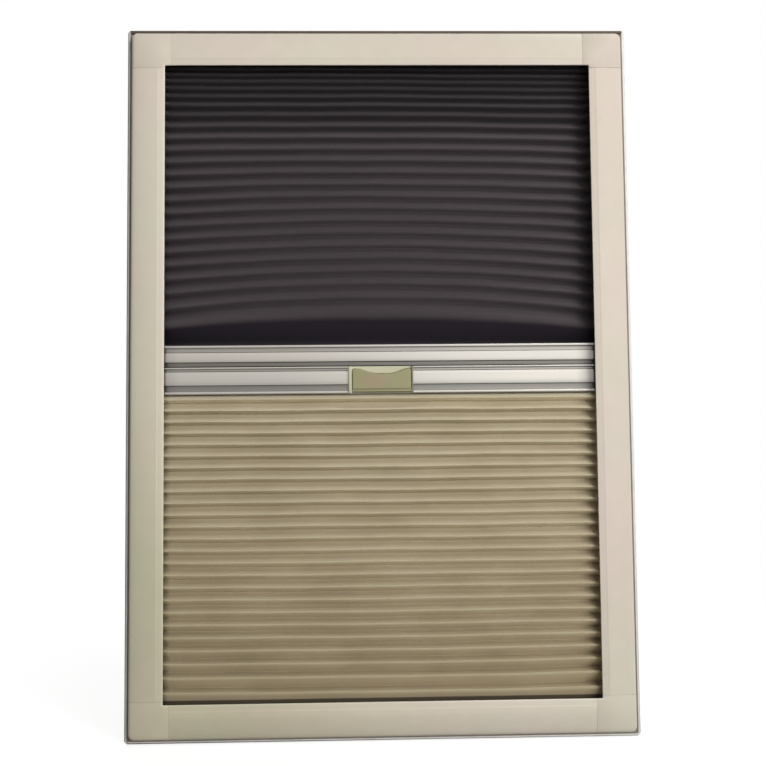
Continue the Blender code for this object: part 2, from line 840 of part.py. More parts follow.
def build_wires():
    for label, side_x in (("left", -1), ("right", 1)):
        wire_x = side_x * WIRE_X
        low = OPENING_BOTTOM - CHANNEL_REACH + FIT
        high = OPENING_TOP + CHANNEL_REACH - FIT
        rod(
            f"guide_wire_{label}",
            WIRE_RADIUS,
            (wire_x, 0, low + WIRE_END),
            (wire_x, 0, high - WIRE_END),
            8,
            steel,
            parts,
        )
        for end, bottom, top in (
            ("bottom", low, low + ANCHOR_BLOCK),
            ("top", high - ANCHOR_BLOCK, high),
        ):
            name = f"wire_anchor_{end}_{label}"
            near, far = sorted((side_x * (CAP_INNER + FIT), side_x * (HALF_CHANNEL - FIT)))
            deep = ANCHOR_BLOCK_DEPTH / 2
            block = box(name, (near, -deep, bottom), (far, deep, top), grey_plastic, parts)
            start, stop = (wire_x, 0, low - OVERRUN), (wire_x, 0, high + OVERRUN)
            hole = rod(f"{name}_hole", WIRE_RADIUS + FIT, start, stop, 8)
            cut(block, hole)


def build_screen_rail():
    low, high = SCREEN_RAIL_Z, SCREEN_RAIL_Z + SCREEN_RAIL_HEIGHT
    rail = as_mesh(
        extruded("screen_rail", screen_rail_outlines(), 2 * HALF_RAIL, (0, 0, 0), "X", satin_aluminium)
    )
    cut(rail, latch_slot("screen_rail_slot", low - OVERRUN, low + TONGUE_POCKET))
    clamp = extruded(
        "screen_clamp",
        [clamp_outline(SCREEN_SLOT_Y, high, -1)],
        2 * (HALF_RAIL - FIT),
        (0, 0, 0),
        "X",
        grey_plastic,
    )
    near, far = seal_groove()
    strip_low, strip_high = low - MEETING_GAP / 2, low + SEAL_DEPTH - FIT
    seal = box(
        "meeting_seal",
        (-HALF_RAIL + FIT, near + FIT, strip_low),
        (HALF_RAIL - FIT, far - FIT, strip_high),
        dark_rubber,
        parts,
    )
    caps = [
        end_cap("screen_rail_cap_left", -1, low, high, False),
        end_cap("screen_rail_cap_right", 1, low, high, False),
    ]
    hang([rail, clamp, seal, *caps], carrier("screen_rail_travel", Vector((0, 0, low))))


def latch_slot(name, low, high):
    """The opening that the latch's tongue reaches through as it swings."""
    half = TONGUE_WIDTH / 2 + 2 * FIT
    return box(
        name,
        (-half, TONGUE_PLACE - TONGUE_SWING, low),
        (half, TONGUE_PLACE + TONGUE_THICK + 2 * FIT, high),
    )


def base_back():
    """The y of the handle base's back and front."""
    back = FACE_Y + HANDLE_RECESS - FIT
    return back, back - BASE_THICK


def build_blind_rail():
    low, high = BLIND_RAIL_Z, BLIND_RAIL_Z + BLIND_RAIL_HEIGHT
    rail = as_mesh(
        extruded("blind_rail", blind_rail_outlines(), 2 * HALF_RAIL, (0, 0, 0), "X", satin_aluminium)
    )
    half = HANDLE_WIDTH / 2 + FIT
    notch = box(
        "handle_notch",
        (-half, FRONT - OVERRUN, low - OVERRUN),
        (half, FACE_Y + HANDLE_RECESS, high + OVERRUN),
    )
    cut(rail, notch)
    cut(rail, latch_slot("blind_rail_slot", high - TONGUE_SLOT, high + OVERRUN))
    cut(rail, arm_window("rail_arm_window", FRONT, FACE_Y + BLIND_HOLLOW_FRONT + OVERLAP))
    clamp = extruded(
        "blind_clamp",
        [clamp_outline(BLIND_SLOT_Y, low, 1)],
        2 * (HALF_RAIL - FIT),
        (0, 0, 0),
        "X",
        grey_plastic,
    )
    caps = [
        end_cap("blind_rail_cap_left", -1, low, high, True),
        end_cap("blind_rail_cap_right", 1, low, high, True),
    ]
    hang([rail, clamp, *caps, *build_handle(rail)], carrier("blind_rail_travel", Vector((0, 0, low))))


def arm_heights():
    low = BLIND_RAIL_Z + ARM_HEIGHT
    return low, low + ARM_THICK


def arm_window(name, front, back):
    """The opening that the lever's arm passes through, with room for it to rise as it tilts."""
    half = TONGUE_WIDTH / 2 + 2 * FIT
    arm_low, arm_high = arm_heights()
    return box(name, (-half, front, arm_low - ARM_BELOW), (half, back, arm_high + ARM_ABOVE))


def pin_axis():
    _, front = base_back()
    return front - FIT - LEVER_THICK / 2, BLIND_RAIL_Z + PIN_HEIGHT


def build_handle(rail):
    low, high = BLIND_RAIL_Z, BLIND_RAIL_Z + BLIND_RAIL_HEIGHT
    half = HANDLE_WIDTH / 2
    back, front = base_back()
    pin_y, pin_z = pin_axis()
    lever_back, lever_front = front - FIT, front - FIT - LEVER_THICK
    base = box("handle_base", (-half, front, low + FIT), (half, back, high - FIT), pale_plastic, parts)
    for label, near, far in (
        ("left", -half, -half + LEFT_CHEEK),
        ("right", half - RIGHT_CHEEK, half),
    ):
        cheek = box(
            f"base_cheek_{label}",
            (near, lever_front + RUN, low + FIT),
            (far, front + OVERLAP, high - FIT),
        )
        join(base, cheek)
    cut(base, arm_window("base_arm_window", front - OVERLAP, back + OVERLAP))
    pin_start, pin_end = -half + PIN_END_WALL, half - PIN_END_WALL
    pin = rod("latch_pin", PIN_RADIUS, (pin_start, pin_y, pin_z), (pin_end, pin_y, pin_z), 12, steel, parts)
    hole = rod(
        "base_pin_hole",
        PIN_RADIUS + FIT / 2,
        (pin_start - FIT, pin_y, pin_z),
        (pin_end + FIT, pin_y, pin_z),
        12,
    )
    cut(base, hole)
    build_lever(lever_back, lever_front, pin_y, pin_z)
    screws = []
    for label, side in (("left", -1), ("right", 1)):
        head_point = (side * BASE_SCREW_X, front, (low + high) / 2)
        screw_name = f"base_screw_{label}"
        screw = countersunk(screw_name, head_point, (0, 1, 0), base_screw_sizes(), SCREW_SUNK, steel, parts)
        screws.append(screw)
        hole = countersunk(f"base_hole_{label}", head_point, (0, 1, 0), base_screw_sizes(), FIT, None, cutters)
        cut(base, hole)
        cut(rail, hole)
    springs = []
    for label, side in (("left", -1), ("right", 1)):
        height = arm_heights()[0] + SPRING_HEIGHT
        start = (side * SPRING_X, FACE_Y + BLIND_HOLLOW_FRONT + FIT, height)
        end = (side * SPRING_X, TONGUE_PLACE - FIT, height)
        spring_name = f"latch_spring_{label}"
        springs.append(coil(spring_name, start, end, SPRING_RADIUS, SPRING_WIRE, SPRING_TURNS, steel))
    return [base, pin, *screws, *springs]


def build_lever(lever_back, lever_front, pin_y, pin_z):
    """The lever: a plate with a thumb scoop, a round foot on the pin and a tongue through the rail."""
    half = HANDLE_WIDTH / 2
    left = -half + LEFT_CHEEK + FIT
    right = half - RIGHT_CHEEK - FIT
    middle = (left + right) / 2
    top = BLIND_RAIL_Z + BLIND_RAIL_HEIGHT - 2 * FIT - LEVER_TOP_STEP
    corner = LEVER_CORNER
    outline = [(right, pin_z), (right, top - corner), (right - 0.3 * corner, top - 0.3 * corner)]
    outline.append((right - corner, top))
    steps = 16
    for step in range(steps + 1):
        share = step / steps
        across = middle + SCOOP_WIDTH * (0.5 - share)
        into = min(1.0, share / SCOOP_FLANK, (1.0 - share) / SCOOP_FLANK)
        outline.append((across, top - SCOOP_DEPTH * into * into * (3.0 - 2.0 * into)))
    outline += [(left + corner, top), (left + 0.3 * corner, top - 0.3 * corner)]
    outline += [(left, top - corner), (left, pin_z)]
    centre = (0, (lever_back + lever_front) / 2, 0)
    lever = as_mesh(extruded("handle_latch", [outline], LEVER_THICK, centre, "Y", olive_plastic))
    foot = rod("lever_foot", LEVER_THICK / 2, (left, pin_y, pin_z), (right, pin_y, pin_z), 16)
    join(lever, foot)
    arm_low, arm_high = arm_heights()
    arm_half = TONGUE_WIDTH / 2
    tip = BLIND_RAIL_Z + BLIND_RAIL_HEIGHT + TONGUE_RISE
    back = TONGUE_PLACE + TONGUE_THICK
    bar_half, bar_top = LEVER_BAR / 2, arm_low + SPRING_HEIGHT + SPRING_RADIUS
    join(lever, box("lever_arm", (-arm_half, lever_back - OVERLAP, arm_low), (arm_half, back, arm_high)))
    join(lever, box("lever_bar", (-bar_half, TONGUE_PLACE, arm_low), (bar_half, back, bar_top)))
    join(lever, box("lever_tongue", (-arm_half, TONGUE_PLACE, arm_low), (arm_half, back, tip)))
    bore_start, bore_end = (left - OVERRUN, pin_y, pin_z), (right + OVERRUN, pin_y, pin_z)
    cut(lever, rod("lever_bore", PIN_RADIUS + FIT / 2, bore_start, bore_end, 12))
    hang([lever], carrier("latch_axis", Vector((0, pin_y, pin_z))))


def build_cloths():
    cloth(
        "screen_cloth",
        SCREEN_TOP,
        SCREEN_RAIL_Z + SCREEN_RAIL_HEIGHT + FIT,
        SCREEN_SLOT_Y,
        SCREEN_FRONT,
        SCREEN_FOLD_DEPTH,
        SCREEN_PLEATS,
        SCREEN_PLEAT_SPREAD,
        black_net,
    )
    cloth(
        "blind_cloth",
        BLIND_BOTTOM,
        BLIND_RAIL_Z - FIT,
        BLIND_SLOT_Y,
        BLIND_FRONT,
        BLIND_FOLD_DEPTH,
        BLIND_PLEATS,
        BLIND_PLEAT_SPREAD,
        beige_cloth,
    )


frame_profiles = build_frame()
cloth_anchors = build_anchors()
build_screws(frame_profiles, cloth_anchors)
build_wires()
build_screen_rail()
build_blind_rail()
build_cloths()
for item in cutters.objects:
    item.hide_render = True
    item.display_type = "WIRE"
print("skylight blind built")
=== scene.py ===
from math import exp, pi, radians, sin

import bmesh
import bpy
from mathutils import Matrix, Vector


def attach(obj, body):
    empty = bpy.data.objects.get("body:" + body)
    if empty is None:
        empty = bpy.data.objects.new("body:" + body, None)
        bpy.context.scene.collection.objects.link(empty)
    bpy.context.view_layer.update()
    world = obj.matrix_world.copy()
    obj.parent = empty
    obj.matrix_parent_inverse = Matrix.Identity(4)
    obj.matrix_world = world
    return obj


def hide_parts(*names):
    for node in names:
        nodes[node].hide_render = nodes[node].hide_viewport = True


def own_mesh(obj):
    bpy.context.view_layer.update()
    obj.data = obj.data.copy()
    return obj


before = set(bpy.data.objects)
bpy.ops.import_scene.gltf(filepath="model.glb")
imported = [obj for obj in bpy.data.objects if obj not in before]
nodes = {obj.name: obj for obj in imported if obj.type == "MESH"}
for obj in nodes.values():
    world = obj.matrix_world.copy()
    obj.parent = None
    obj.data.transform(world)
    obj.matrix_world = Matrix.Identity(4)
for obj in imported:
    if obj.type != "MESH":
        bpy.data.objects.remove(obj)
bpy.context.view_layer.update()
print("frame loaded,", len(nodes), "nodes")


def paint(red, green, blue):
    # a colour as read on screen, turned into the linear one that sockets take
    return tuple((part / 255) ** 2.2 for part in (red, green, blue)) + (1.0,)


def deselectAll():
    if bpy.context.object and bpy.context.object.mode != "OBJECT":
        bpy.ops.object.mode_set(mode="OBJECT")
    bpy.ops.object.select_all(action="DESELECT")


def makeActive(piece):
    deselectAll()
    bpy.context.view_layer.objects.active = piece
    piece.select_set(True)


def settle(piece, name):
    # name it, and move its place into its mesh
    makeActive(piece)
    bpy.ops.object.transform_apply(location=True, rotation=True, scale=True)
    piece.name = piece.data.name = name
    return piece


class Finish:
    # a material and short ways to add to its node tree
    def __init__(self, name, colour, roughness, metallic=0.0):
        self.material = bpy.data.materials.new(name)
        self.material.use_nodes = True
        self.tree = self.material.node_tree
        self.shader = self.tree.nodes["Principled BSDF"]
        self.shader.inputs["Base Color"].default_value = paint(*colour)
        self.shader.inputs["Roughness"].default_value = roughness
        self.shader.inputs["Metallic"].default_value = metallic

    def node(self, kind, **values):
        made = self.tree.nodes.new(kind)
        for key, value in values.items():
            if hasattr(made, key):
                setattr(made, key, value)
            else:
                made.inputs[key.replace("_", " ")].default_value = value
        return made

    def link(self, fromSocket, toSocket):
        self.tree.links.new(fromSocket, toSocket)

    def place(self, scale=(1, 1, 1), source="Object", shift=(0, 0, 0)):
        coords = self.node("ShaderNodeTexCoord")
        mapping = self.node("ShaderNodeMapping")
        mapping.inputs["Scale"].default_value = scale
        mapping.inputs["Location"].default_value = shift
        self.link(coords.outputs[source], mapping.inputs["Vector"])
        return mapping.outputs["Vector"]

    def noise(self, where, scale, detail=3.0, roughness=0.55):
        made = self.node("ShaderNodeTexNoise", Scale=scale, Detail=detail, Roughness=roughness)
        self.link(where, made.inputs["Vector"])
        return made.outputs["Fac"]

    def ramp(self, value, *stops):
        # stops are (place, colour or grey level)
        made = self.node("ShaderNodeValToRGB")
        points = made.color_ramp.elements
        while len(points) < len(stops):
            points.new(0.5)
        for point, (where, tone) in zip(points, stops):
            point.position = where
            point.color = paint(*tone) if hasattr(tone, "__len__") else (tone, tone, tone, 1.0)
        self.link(value, made.inputs["Fac"])
        return made.outputs["Color"]

    def sums(self, operation, first, second, third=None):
        made = self.node("ShaderNodeMath", operation=operation)
        for socket, value in zip(made.inputs, (first, second, third)):
            if value is None:
                continue
            if isinstance(value, (int, float)):
                socket.default_value = value
            else:
                self.link(value, socket)
        return made.outputs[0]

    def mix(self, share, first, second, blend="MIX"):
        made = self.node("ShaderNodeMix", data_type="RGBA", blend_type=blend)
        for socket, value in ((made.inputs[0], share), (made.inputs[6], first), (made.inputs[7], second)):
            if isinstance(value, (int, float)):
                socket.default_value = value
            elif isinstance(value, tuple):
                socket.default_value = value if len(value) == 4 else paint(*value)
            else:
                self.link(value, socket)
        return made.outputs[2]

    def times(self, first, second):
        return self.mix(1.0, first, second, "MULTIPLY")

    def patchy(self, noise, first, second):
        # two tones in soft patches
        return self.mix(self.ramp(noise, (0.35, 0.0), (0.65, 1.0)), first, second)

    def split(self, vector):
        made = self.node("ShaderNodeSeparateXYZ")
        self.link(vector, made.inputs[0])
        return made.outputs

    def upward(self):
        # 0 on faces that look down, 1 on faces that look up
        facing = self.split(self.node("ShaderNodeNewGeometry").outputs["Normal"])
        return self.sums("MULTIPLY_ADD", facing[2], 0.5, 0.5)

    def outwards(self, where, edges):
        # a point's share of the way out over a strip round a rectangle, and its place from the middle
        parts = self.split(where)
        across = self.sums("SUBTRACT", self.sums("ABSOLUTE", parts[0], 0), edges["halfWidth"])
        height = self.sums("SUBTRACT", parts[2], edges["middle"])
        upDown = self.sums("SUBTRACT", self.sums("ABSOLUTE", height, 0), edges["halfHeight"])
        out = self.sums("MULTIPLY", self.sums("MAXIMUM", across, upDown), 1 / edges["wide"])
        return out, parts[0], height

    def bump(self, height, strength, distance):
        made = self.node("ShaderNodeBump", Strength=strength, Distance=distance)
        self.link(height, made.inputs["Height"])
        self.link(made.outputs["Normal"], self.shader.inputs["Normal"])

    def colour(self, socket):
        self.link(socket, self.shader.inputs["Base Color"])

    def rough(self, socket):
        self.link(socket, self.shader.inputs["Roughness"])


def dress(finish, *names):
    for name in names:
        for slot in nodes[name].material_slots:
            slot.material = finish.material


# the photograph's viewpoint
cameraSet = {
    "place": (-0.0174, -0.8999, 0.3044), "turn": (93.094, 0.555, -1.236),      # metres, degrees
    "lens": 41.71, "sensor": 36, "near": 0.01,
}

cameraData = bpy.data.cameras.new("photoView")
cameraData.lens = cameraSet["lens"]
cameraData.sensor_width = cameraSet["sensor"]
cameraData.clip_start = cameraSet["near"]
camera = bpy.data.objects.new("photoView", cameraData)
camera.location = cameraSet["place"]
camera.rotation_euler = [radians(angle) for angle in cameraSet["turn"]]
bpy.context.scene.collection.objects.link(camera)
bpy.context.scene.camera = camera
print("camera set")


creamSet = {
    "colour": (227, 216, 201), "warm": (229, 214, 201), "green": (223, 216, 198),
    # a painted highlight: a paler, cooler strip along the opening's rolled edge
    "innerEdgeHighlight": (232, 224, 211), "innerWidth": 0.0014,
    # painted shade from the opening's edge outwards for the bars' rounded faces, the bottom bar's with a
    # painted highlight near its inner edge, as (share of the bar's face, level)
    "evenShadeFall": ((0.05, 1.0), (0.50, 0.985), (0.84, 0.955), (1.0, 0.90)),
    "lowHighlightShadeFall": ((0.10, 1.0), (0.24, 1.05), (0.31, 1.04), (0.40, 0.98), (0.55, 0.94), (0.76, 0.89), (1.0, 0.83)),
    "opening": {"halfWidth": 0.216, "halfHeight": 0.319, "middle": 0.358, "wide": 0.034},
    "halfFrame": 0.25,
    # painted shade on the lower left and painted light on the upper left, for the light's fall across the
    # frame, as (share of the way there, tone)
    "lowerLeftShade": ((0.27, (233, 238, 222)), (0.52, (249, 251, 244)), (0.78, 1.0)),
    "upperLeft": ((0.20, 1.0), (0.45, 1.08)), "slant": 2.0,
    "rough": 0.36, "coat": 0.12, "coatRough": 0.3,
    # grain per metre, level
    "painted": (1400, 1.0), "moulded": (2600, 0.97),
}


def creamFinish(name, surface, shadeFall):
    grain, tone = creamSet[surface]
    made = Finish(name, creamSet["colour"], creamSet["rough"])
    where = made.place()
    opening = creamSet["opening"]
    base = made.patchy(made.noise(where, 7, 2), creamSet["warm"], creamSet["green"])
    out, across, height = made.outwards(where, opening)
    # painted highlight along the opening's edge
    strip = creamSet["innerWidth"] / opening["wide"]
    base = made.mix(made.ramp(out, (strip - 0.02, 1.0), (strip + 0.02, 0.0)), base, creamSet["innerEdgeHighlight"])
    # painted shade across the bar's face, and on the bottom bar a painted highlight
    base = made.times(base, made.ramp(out, *[(share, level * tone) for share, level in creamSet[shadeFall]]))
    # 0 at the lower left, 1 in the middle
    aslant = made.sums("MULTIPLY_ADD", across, 0.5 / creamSet["halfFrame"], 1.0)
    aslant = made.sums("MULTIPLY_ADD", height, 0.5 / opening["middle"], aslant)
    # painted shade towards the lower left
    base = made.times(base, made.ramp(aslant, *creamSet["lowerLeftShade"]))
    # painted light towards the upper left
    upLeft = made.sums("MULTIPLY_ADD", across, -creamSet["slant"], height)
    base = made.times(base, made.ramp(upLeft, *creamSet["upperLeft"]))
    made.colour(made.times(base, made.ramp(made.noise(where, 60, 3), (0.3, 0.965), (0.7, 1.0))))
    made.rough(made.ramp(made.noise(where, 35, 4), (0.3, 0.32), (0.7, 0.44)))
    made.bump(made.noise(where, grain, 2), 0.25, 0.00005)
    made.shader.inputs["Coat Weight"].default_value = creamSet["coat"]
    made.shader.inputs["Coat Roughness"].default_value = creamSet["coatRough"]
    return made


creamPaint = creamFinish("creamPaint", "painted", "evenShadeFall")
# a copy for the bottom bar, with its own painted highlight and shade
creamPaintBottomShaded = creamFinish("creamPaintBottomShaded", "painted", "lowHighlightShadeFall")
creamMoulding = creamFinish("creamMoulding", "moulded", "evenShadeFall")


sealSet = {
    # the inner tones are painted shadow of the flange's edge; the top seal's tones are darker all over, as
    # painted shade
    "inner": (136, 127, 117), "lip": (244, 241, 236), "topInner": (70, 62, 54), "topLip": (112, 103, 92),
    "innerWidth": 0.0024, "flange": {"halfWidth": 0.250, "halfHeight": 0.353, "middle": 0.358, "wide": 0.005},
    "bevel": 0.0003, "cutAcross": 0.2515,     # where the slanted cuts meet the top and bottom edges
}


def rubberFinish(name, inner, lip):
    # a grey-brown band against the flange, darker as painted shadow of the flange's edge, with a paler outer
    # lip
    made = Finish(name, inner, 0.8)
    where = made.place()
    out = made.outwards(where, sealSet["flange"])[0]
    edge = sealSet["innerWidth"] / sealSet["flange"]["wide"]
    tone = made.mix(made.ramp(out, (edge - 0.04, 0.0), (edge + 0.04, 1.0)), inner, lip)
    made.colour(made.times(tone, made.ramp(made.noise(where, 90, 4), (0.3, 0.86), (0.75, 1.0))))
    made.bump(made.noise(where, 1800, 3), 0.4, 0.0001)
    return made


aluminiumSet = {
    "colour": (188, 184, 177), "warm": (192, 186, 178), "lines": 900,
    "frontDepth": -0.015, "grooveDepth": 0.010, "long": 0.429,
    # painted shade as levels by depth into the grooves, painted shadow of the side bars along the rail from
    # left to right, and painted shade from faces that look down to faces that look up
    "grooves": ((0.58, 1.0), (0.66, 0.74), (0.78, 0.50), (0.88, 0.42)),
    "ends": ((0.0, 0.84), (0.03, 1.0), (0.962, 1.0), (0.9755, 0.84), (0.985, 0.65), (0.994, 0.33)),
    "undersides": ((0.2, 0.55), (0.45, 0.78), (0.50, 0.92), (0.55, 1.0)),
}


def aluminiumFinish():
    # satin anodised, with faint draw lines along the rail; its darker grooves, rail ends and undersides are
    # painted shade
    made = Finish("satinAluminium", aluminiumSet["colour"], 0.36, 1.0)
    lines = made.noise(made.place((1.5, aluminiumSet["lines"], aluminiumSet["lines"])), 1.0, 3)
    cloud = made.noise(made.place((6, 20, 20)), 1.0, 2)
    tone = made.patchy(cloud, aluminiumSet["colour"], aluminiumSet["warm"])
    tone = made.times(tone, made.ramp(lines, (0.25, 0.95), (0.75, 1.0)))
    parts = made.split(made.place())
    perMetre = 1 / aluminiumSet["grooveDepth"]
    depth = made.sums("MULTIPLY_ADD", parts[1], perMetre, -aluminiumSet["frontDepth"] * perMetre)
    tone = made.times(tone, made.ramp(depth, *aluminiumSet["grooves"]))
    along = made.sums("MULTIPLY_ADD", parts[0], 1 / aluminiumSet["long"], 0.5)
    tone = made.times(tone, made.ramp(along, *aluminiumSet["ends"]))
    made.colour(made.times(tone, made.ramp(made.upward(), *aluminiumSet["undersides"])))
    made.rough(made.ramp(lines, (0.3, 0.30), (0.7, 0.42)))
    made.bump(lines, 0.12, 0.00003)
    return made


plasticSet = {
    "colour": (84, 84, 82), "roughness": 0.5, "metallic": 0.0,
    "patches": 50, "tones": ((0.3, (78, 78, 76)), (0.7, (92, 92, 89))),
    "scuffs": 120, "wear": ((0.3, 0.42), (0.7, 0.58)), "grain": 2200,
}
steelSet = {
    "colour": (196, 196, 198), "roughness": 0.3, "metallic": 1.0,
    "patches": 300, "tones": ((0.3, (176, 176, 179)), (0.7, (206, 206, 208))),
    "scuffs": 700, "wear": ((0.3, 0.22), (0.7, 0.4)), "grain": None,
}


def plainFinish(name, settings):
    made = Finish(name, settings["colour"], settings["roughness"], settings["metallic"])
    where = made.place()
    made.colour(made.ramp(made.noise(where, settings["patches"], 3), *settings["tones"]))
    made.rough(made.ramp(made.noise(where, settings["scuffs"], 2), *settings["wear"]))
    if settings["grain"]:
        made.bump(made.noise(where, settings["grain"], 2), 0.3, 0.00008)
    return made


handleTones = {
    # painted shade as (axis, where the tone is full, where it is dark, how dark), at the base's rim and on the
    # lever's rim and in its groove
    "pale": {"main": (208, 206, 176), "centre": (204, 201, 172), "paintedShade": (0, 0.0300, 0.0312, 0.40)},
    # rubbed is the worn middle of the lever, (across, up, half width, half height)
    "olive": {
        "main": (158, 155, 117), "centre": (165, 151, 121), "paintedShade": (1, -0.01487, -0.01450, 0.48),
        "rubbed": (-0.006, 0.3545, 0.013, 0.0065),
    },
    "grain": 1500,
}


def handleFinish(name, tones):
    made = Finish(name, tones["main"], 0.4)
    where = made.place()
    patches = made.noise(made.place((30, 60, 60)), 1.0, 3)
    if "rubbed" in tones:
        x, z, wide, high = tones["rubbed"]
        near = made.node("ShaderNodeVectorMath", operation="LENGTH")
        made.link(made.place((1 / wide, 0, 1 / high), shift=(-x / wide, 0, -z / high)), near.inputs[0])
        patches = made.sums("SUBTRACT", made.sums("ADD", patches, 0.55), near.outputs["Value"])
        patches = made.sums("MULTIPLY_ADD", patches, 0.5, 0.5)
    tone = made.patchy(patches, tones["main"], tones["centre"])
    # painted shade towards a rim
    axis, full, dark, level = tones["paintedShade"]
    share = made.sums("DIVIDE", made.sums("SUBTRACT", made.split(where)[axis], full), dark - full)
    made.colour(made.times(tone, made.ramp(share, (0.0, 1.0), (1.0, level))))
    made.rough(made.ramp(made.noise(where, 150, 2), (0.3, 0.34), (0.7, 0.5)))
    made.bump(made.noise(where, handleTones["grain"], 2), 0.3, 0.0001)
    return made


netSet = {
    "thread": (94, 86, 89), "hole": (43, 38, 40), "mesh": 0.0007, "half": 0.2215, "long": 0.4028,
    # the folds' front and rear, and the painted shade level deep in them
    "front": 0.0020, "rear": 0.0088, "paintedDeepInFolds": 0.34,
    # the painted fold shade and underside light show less towards the lower middle, as (share of the length or
    # half width, how much less)
    "calmAlong": ((0.38, 1.0), (0.54, 0.72), (0.72, 0.0)),
    "calmAside": ((0.10, 1.0), (0.55, 0.72), (1.0, 0.05)),
    # the even level that takes the place of the painted fold shade there, and the painted light on the
    # undersides
    "calmFolds": (217, 217, 217), "underside": 0.5,
    # painted shade in the last pleat and under the top bar, a little lighter in the top rows
    "lastPleatShade": 0.0250, "lastPleatShadeTone": (71, 43, 88), "topShadowTone": 0.52, "firstTone": 0.9,
    "sheen": 0.15, "sheenRough": 0.4, "specular": 0.3,
}
blindSet = {
    # painted shade towards the lower end, and painted light on the first fold under the rail
    "cloth": (215, 204, 178), "shade": (205, 193, 165), "lowShadeTone": (205, 199, 189), "long": 0.684,
    "front": -0.0075, "rear": 0.0048, "ridge": (212, 200, 166),
    # painted light: the undersides are lifted so much at the ridges, and by this share of it deep in the folds
    "underside": 0.66, "paintedDeepInFolds": 0.42,
    "firstFold": 0.0185, "firstTone": 1.35, "channel": 0.0398, "channelShadowTone": 0.22,
    "sheen": 0.1, "specular": 0.25,
}


def netFinish():
    # fine woven mesh drawn on the cloth's own flat metres
    made = Finish("insectNet", netSet["thread"], 0.75)
    flat = made.place(source="UV")
    parts = made.split(flat)
    threads = []
    for axis in (0, 1):
        turned = made.sums("MULTIPLY", parts[axis], 2 * pi / netSet["mesh"])
        threads.append(made.sums("MULTIPLY_ADD", made.sums("SINE", turned, 0.0), 0.5, 0.5))
    mesh = made.sums("MAXIMUM", threads[0], threads[1])
    streaks = made.noise(made.place((9, 160, 1), "UV"), 1.0, 4, 0.7)
    tone = made.mix(made.ramp(mesh, (0.45, 0.0), (0.8, 1.0)), netSet["hole"], netSet["thread"])
    tone = made.times(tone, made.ramp(streaks, (0.25, 0.80), (0.75, 1.0)))
    spot = made.split(made.place())
    span = netSet["rear"] - netSet["front"]
    deep = made.sums("DIVIDE", made.sums("SUBTRACT", spot[1], netSet["front"]), span)
    along = made.sums("DIVIDE", parts[1], netSet["long"])
    aside = made.sums("MULTIPLY", made.sums("ABSOLUTE", spot[0], 0), 1 / netSet["half"])
    calm = made.ramp(along, *netSet["calmAlong"])
    calm = made.sums("MULTIPLY", made.ramp(aside, *netSet["calmAside"]), calm)
    # painted shade deeper in the folds
    folds = made.ramp(deep, (0.1, 1.0), (0.9, netSet["paintedDeepInFolds"]))
    tone = made.times(tone, made.mix(calm, folds, netSet["calmFolds"]))
    # painted light on faces that look down
    under = made.sums("MULTIPLY", made.ramp(made.upward(), (0.15, 1.0), (0.50, 0.0)), calm)
    tone = made.times(tone, made.sums("MULTIPLY_ADD", under, netSet["underside"], 1.0))
    # painted shade: darker in the wide last pleat and up at the head under the top bar, a little less in the
    # top rows
    lastPleatShade = netSet["lastPleatShade"] / netSet["long"]
    ends = made.ramp(
        along, (lastPleatShade * 0.9, netSet["lastPleatShadeTone"]), (lastPleatShade * 1.04, 1.0), (0.69, 1.0), (0.77, netSet["topShadowTone"]),
        (0.955, netSet["topShadowTone"]), (0.985, netSet["firstTone"])
    )
    made.colour(made.times(tone, ends))
    made.bump(mesh, 0.5, 0.0001)
    made.shader.inputs["Sheen Weight"].default_value = netSet["sheen"]
    made.shader.inputs["Sheen Roughness"].default_value = netSet["sheenRough"]
    made.shader.inputs["Specular IOR Level"].default_value = netSet["specular"]
    return made


def blindFinish():
    made = Finish("pleatedCloth", blindSet["cloth"], 0.85)
    flat = made.place(source="UV")
    fibres = made.noise(made.place((260, 1400, 1), "UV"), 1.0, 3, 0.6)
    tone = made.patchy(made.noise(flat, 14, 3), blindSet["shade"], blindSet["cloth"])
    tone = made.times(tone, made.ramp(fibres, (0.25, 0.9), (0.75, 1.0)))
    # painted shade towards the lower end, and painted light on the first fold under the rail, lifting it out of
    # the rail's shadow
    along = made.sums("DIVIDE", made.split(flat)[1], blindSet["long"])
    first = 1 - blindSet["firstFold"] / blindSet["long"]
    alongShade = made.ramp(along, (0.0, blindSet["lowShadeTone"]), (first, 1.0), (first + 0.003, blindSet["firstTone"]))
    tone = made.times(tone, alongShade)
    # a ridge tone along the ridges; lower down the undersides get painted light, most of all near the ridges
    spot = made.split(made.place())
    span = blindSet["rear"] - blindSet["front"]
    deep = made.sums("MULTIPLY_ADD", spot[1], 1 / span, -blindSet["front"] / span)
    tone = made.mix(made.ramp(deep, (0.04, 0.35), (0.18, 0.0)), tone, blindSet["ridge"])
    undersideLift = made.sums("MULTIPLY_ADD", deep, blindSet["paintedDeepInFolds"] - 1, 1.0)
    undersideLift = made.sums("MULTIPLY", undersideLift, made.ramp(made.upward(), (0.20, 1.0), (0.42, 0.0)))
    undersideLift = made.sums("MULTIPLY", undersideLift, made.ramp(along, (0.45, 1.0), (0.95, 0.1)))
    tone = made.times(tone, made.sums("MULTIPLY_ADD", undersideLift, blindSet["underside"], 1.0))
    # painted shadow: dark where it goes down into the lower channel
    sunk = made.sums("MULTIPLY_ADD", spot[2], 100.0, 0.5 - 100 * blindSet["channel"])
    made.colour(made.times(tone, made.ramp(sunk, (0.44, blindSet["channelShadowTone"]), (0.56, 1.0))))
    made.bump(fibres, 0.35, 0.00015)
    made.shader.inputs["Sheen Weight"].default_value = blindSet["sheen"]
    made.shader.inputs["Specular IOR Level"].default_value = blindSet["specular"]
    return made


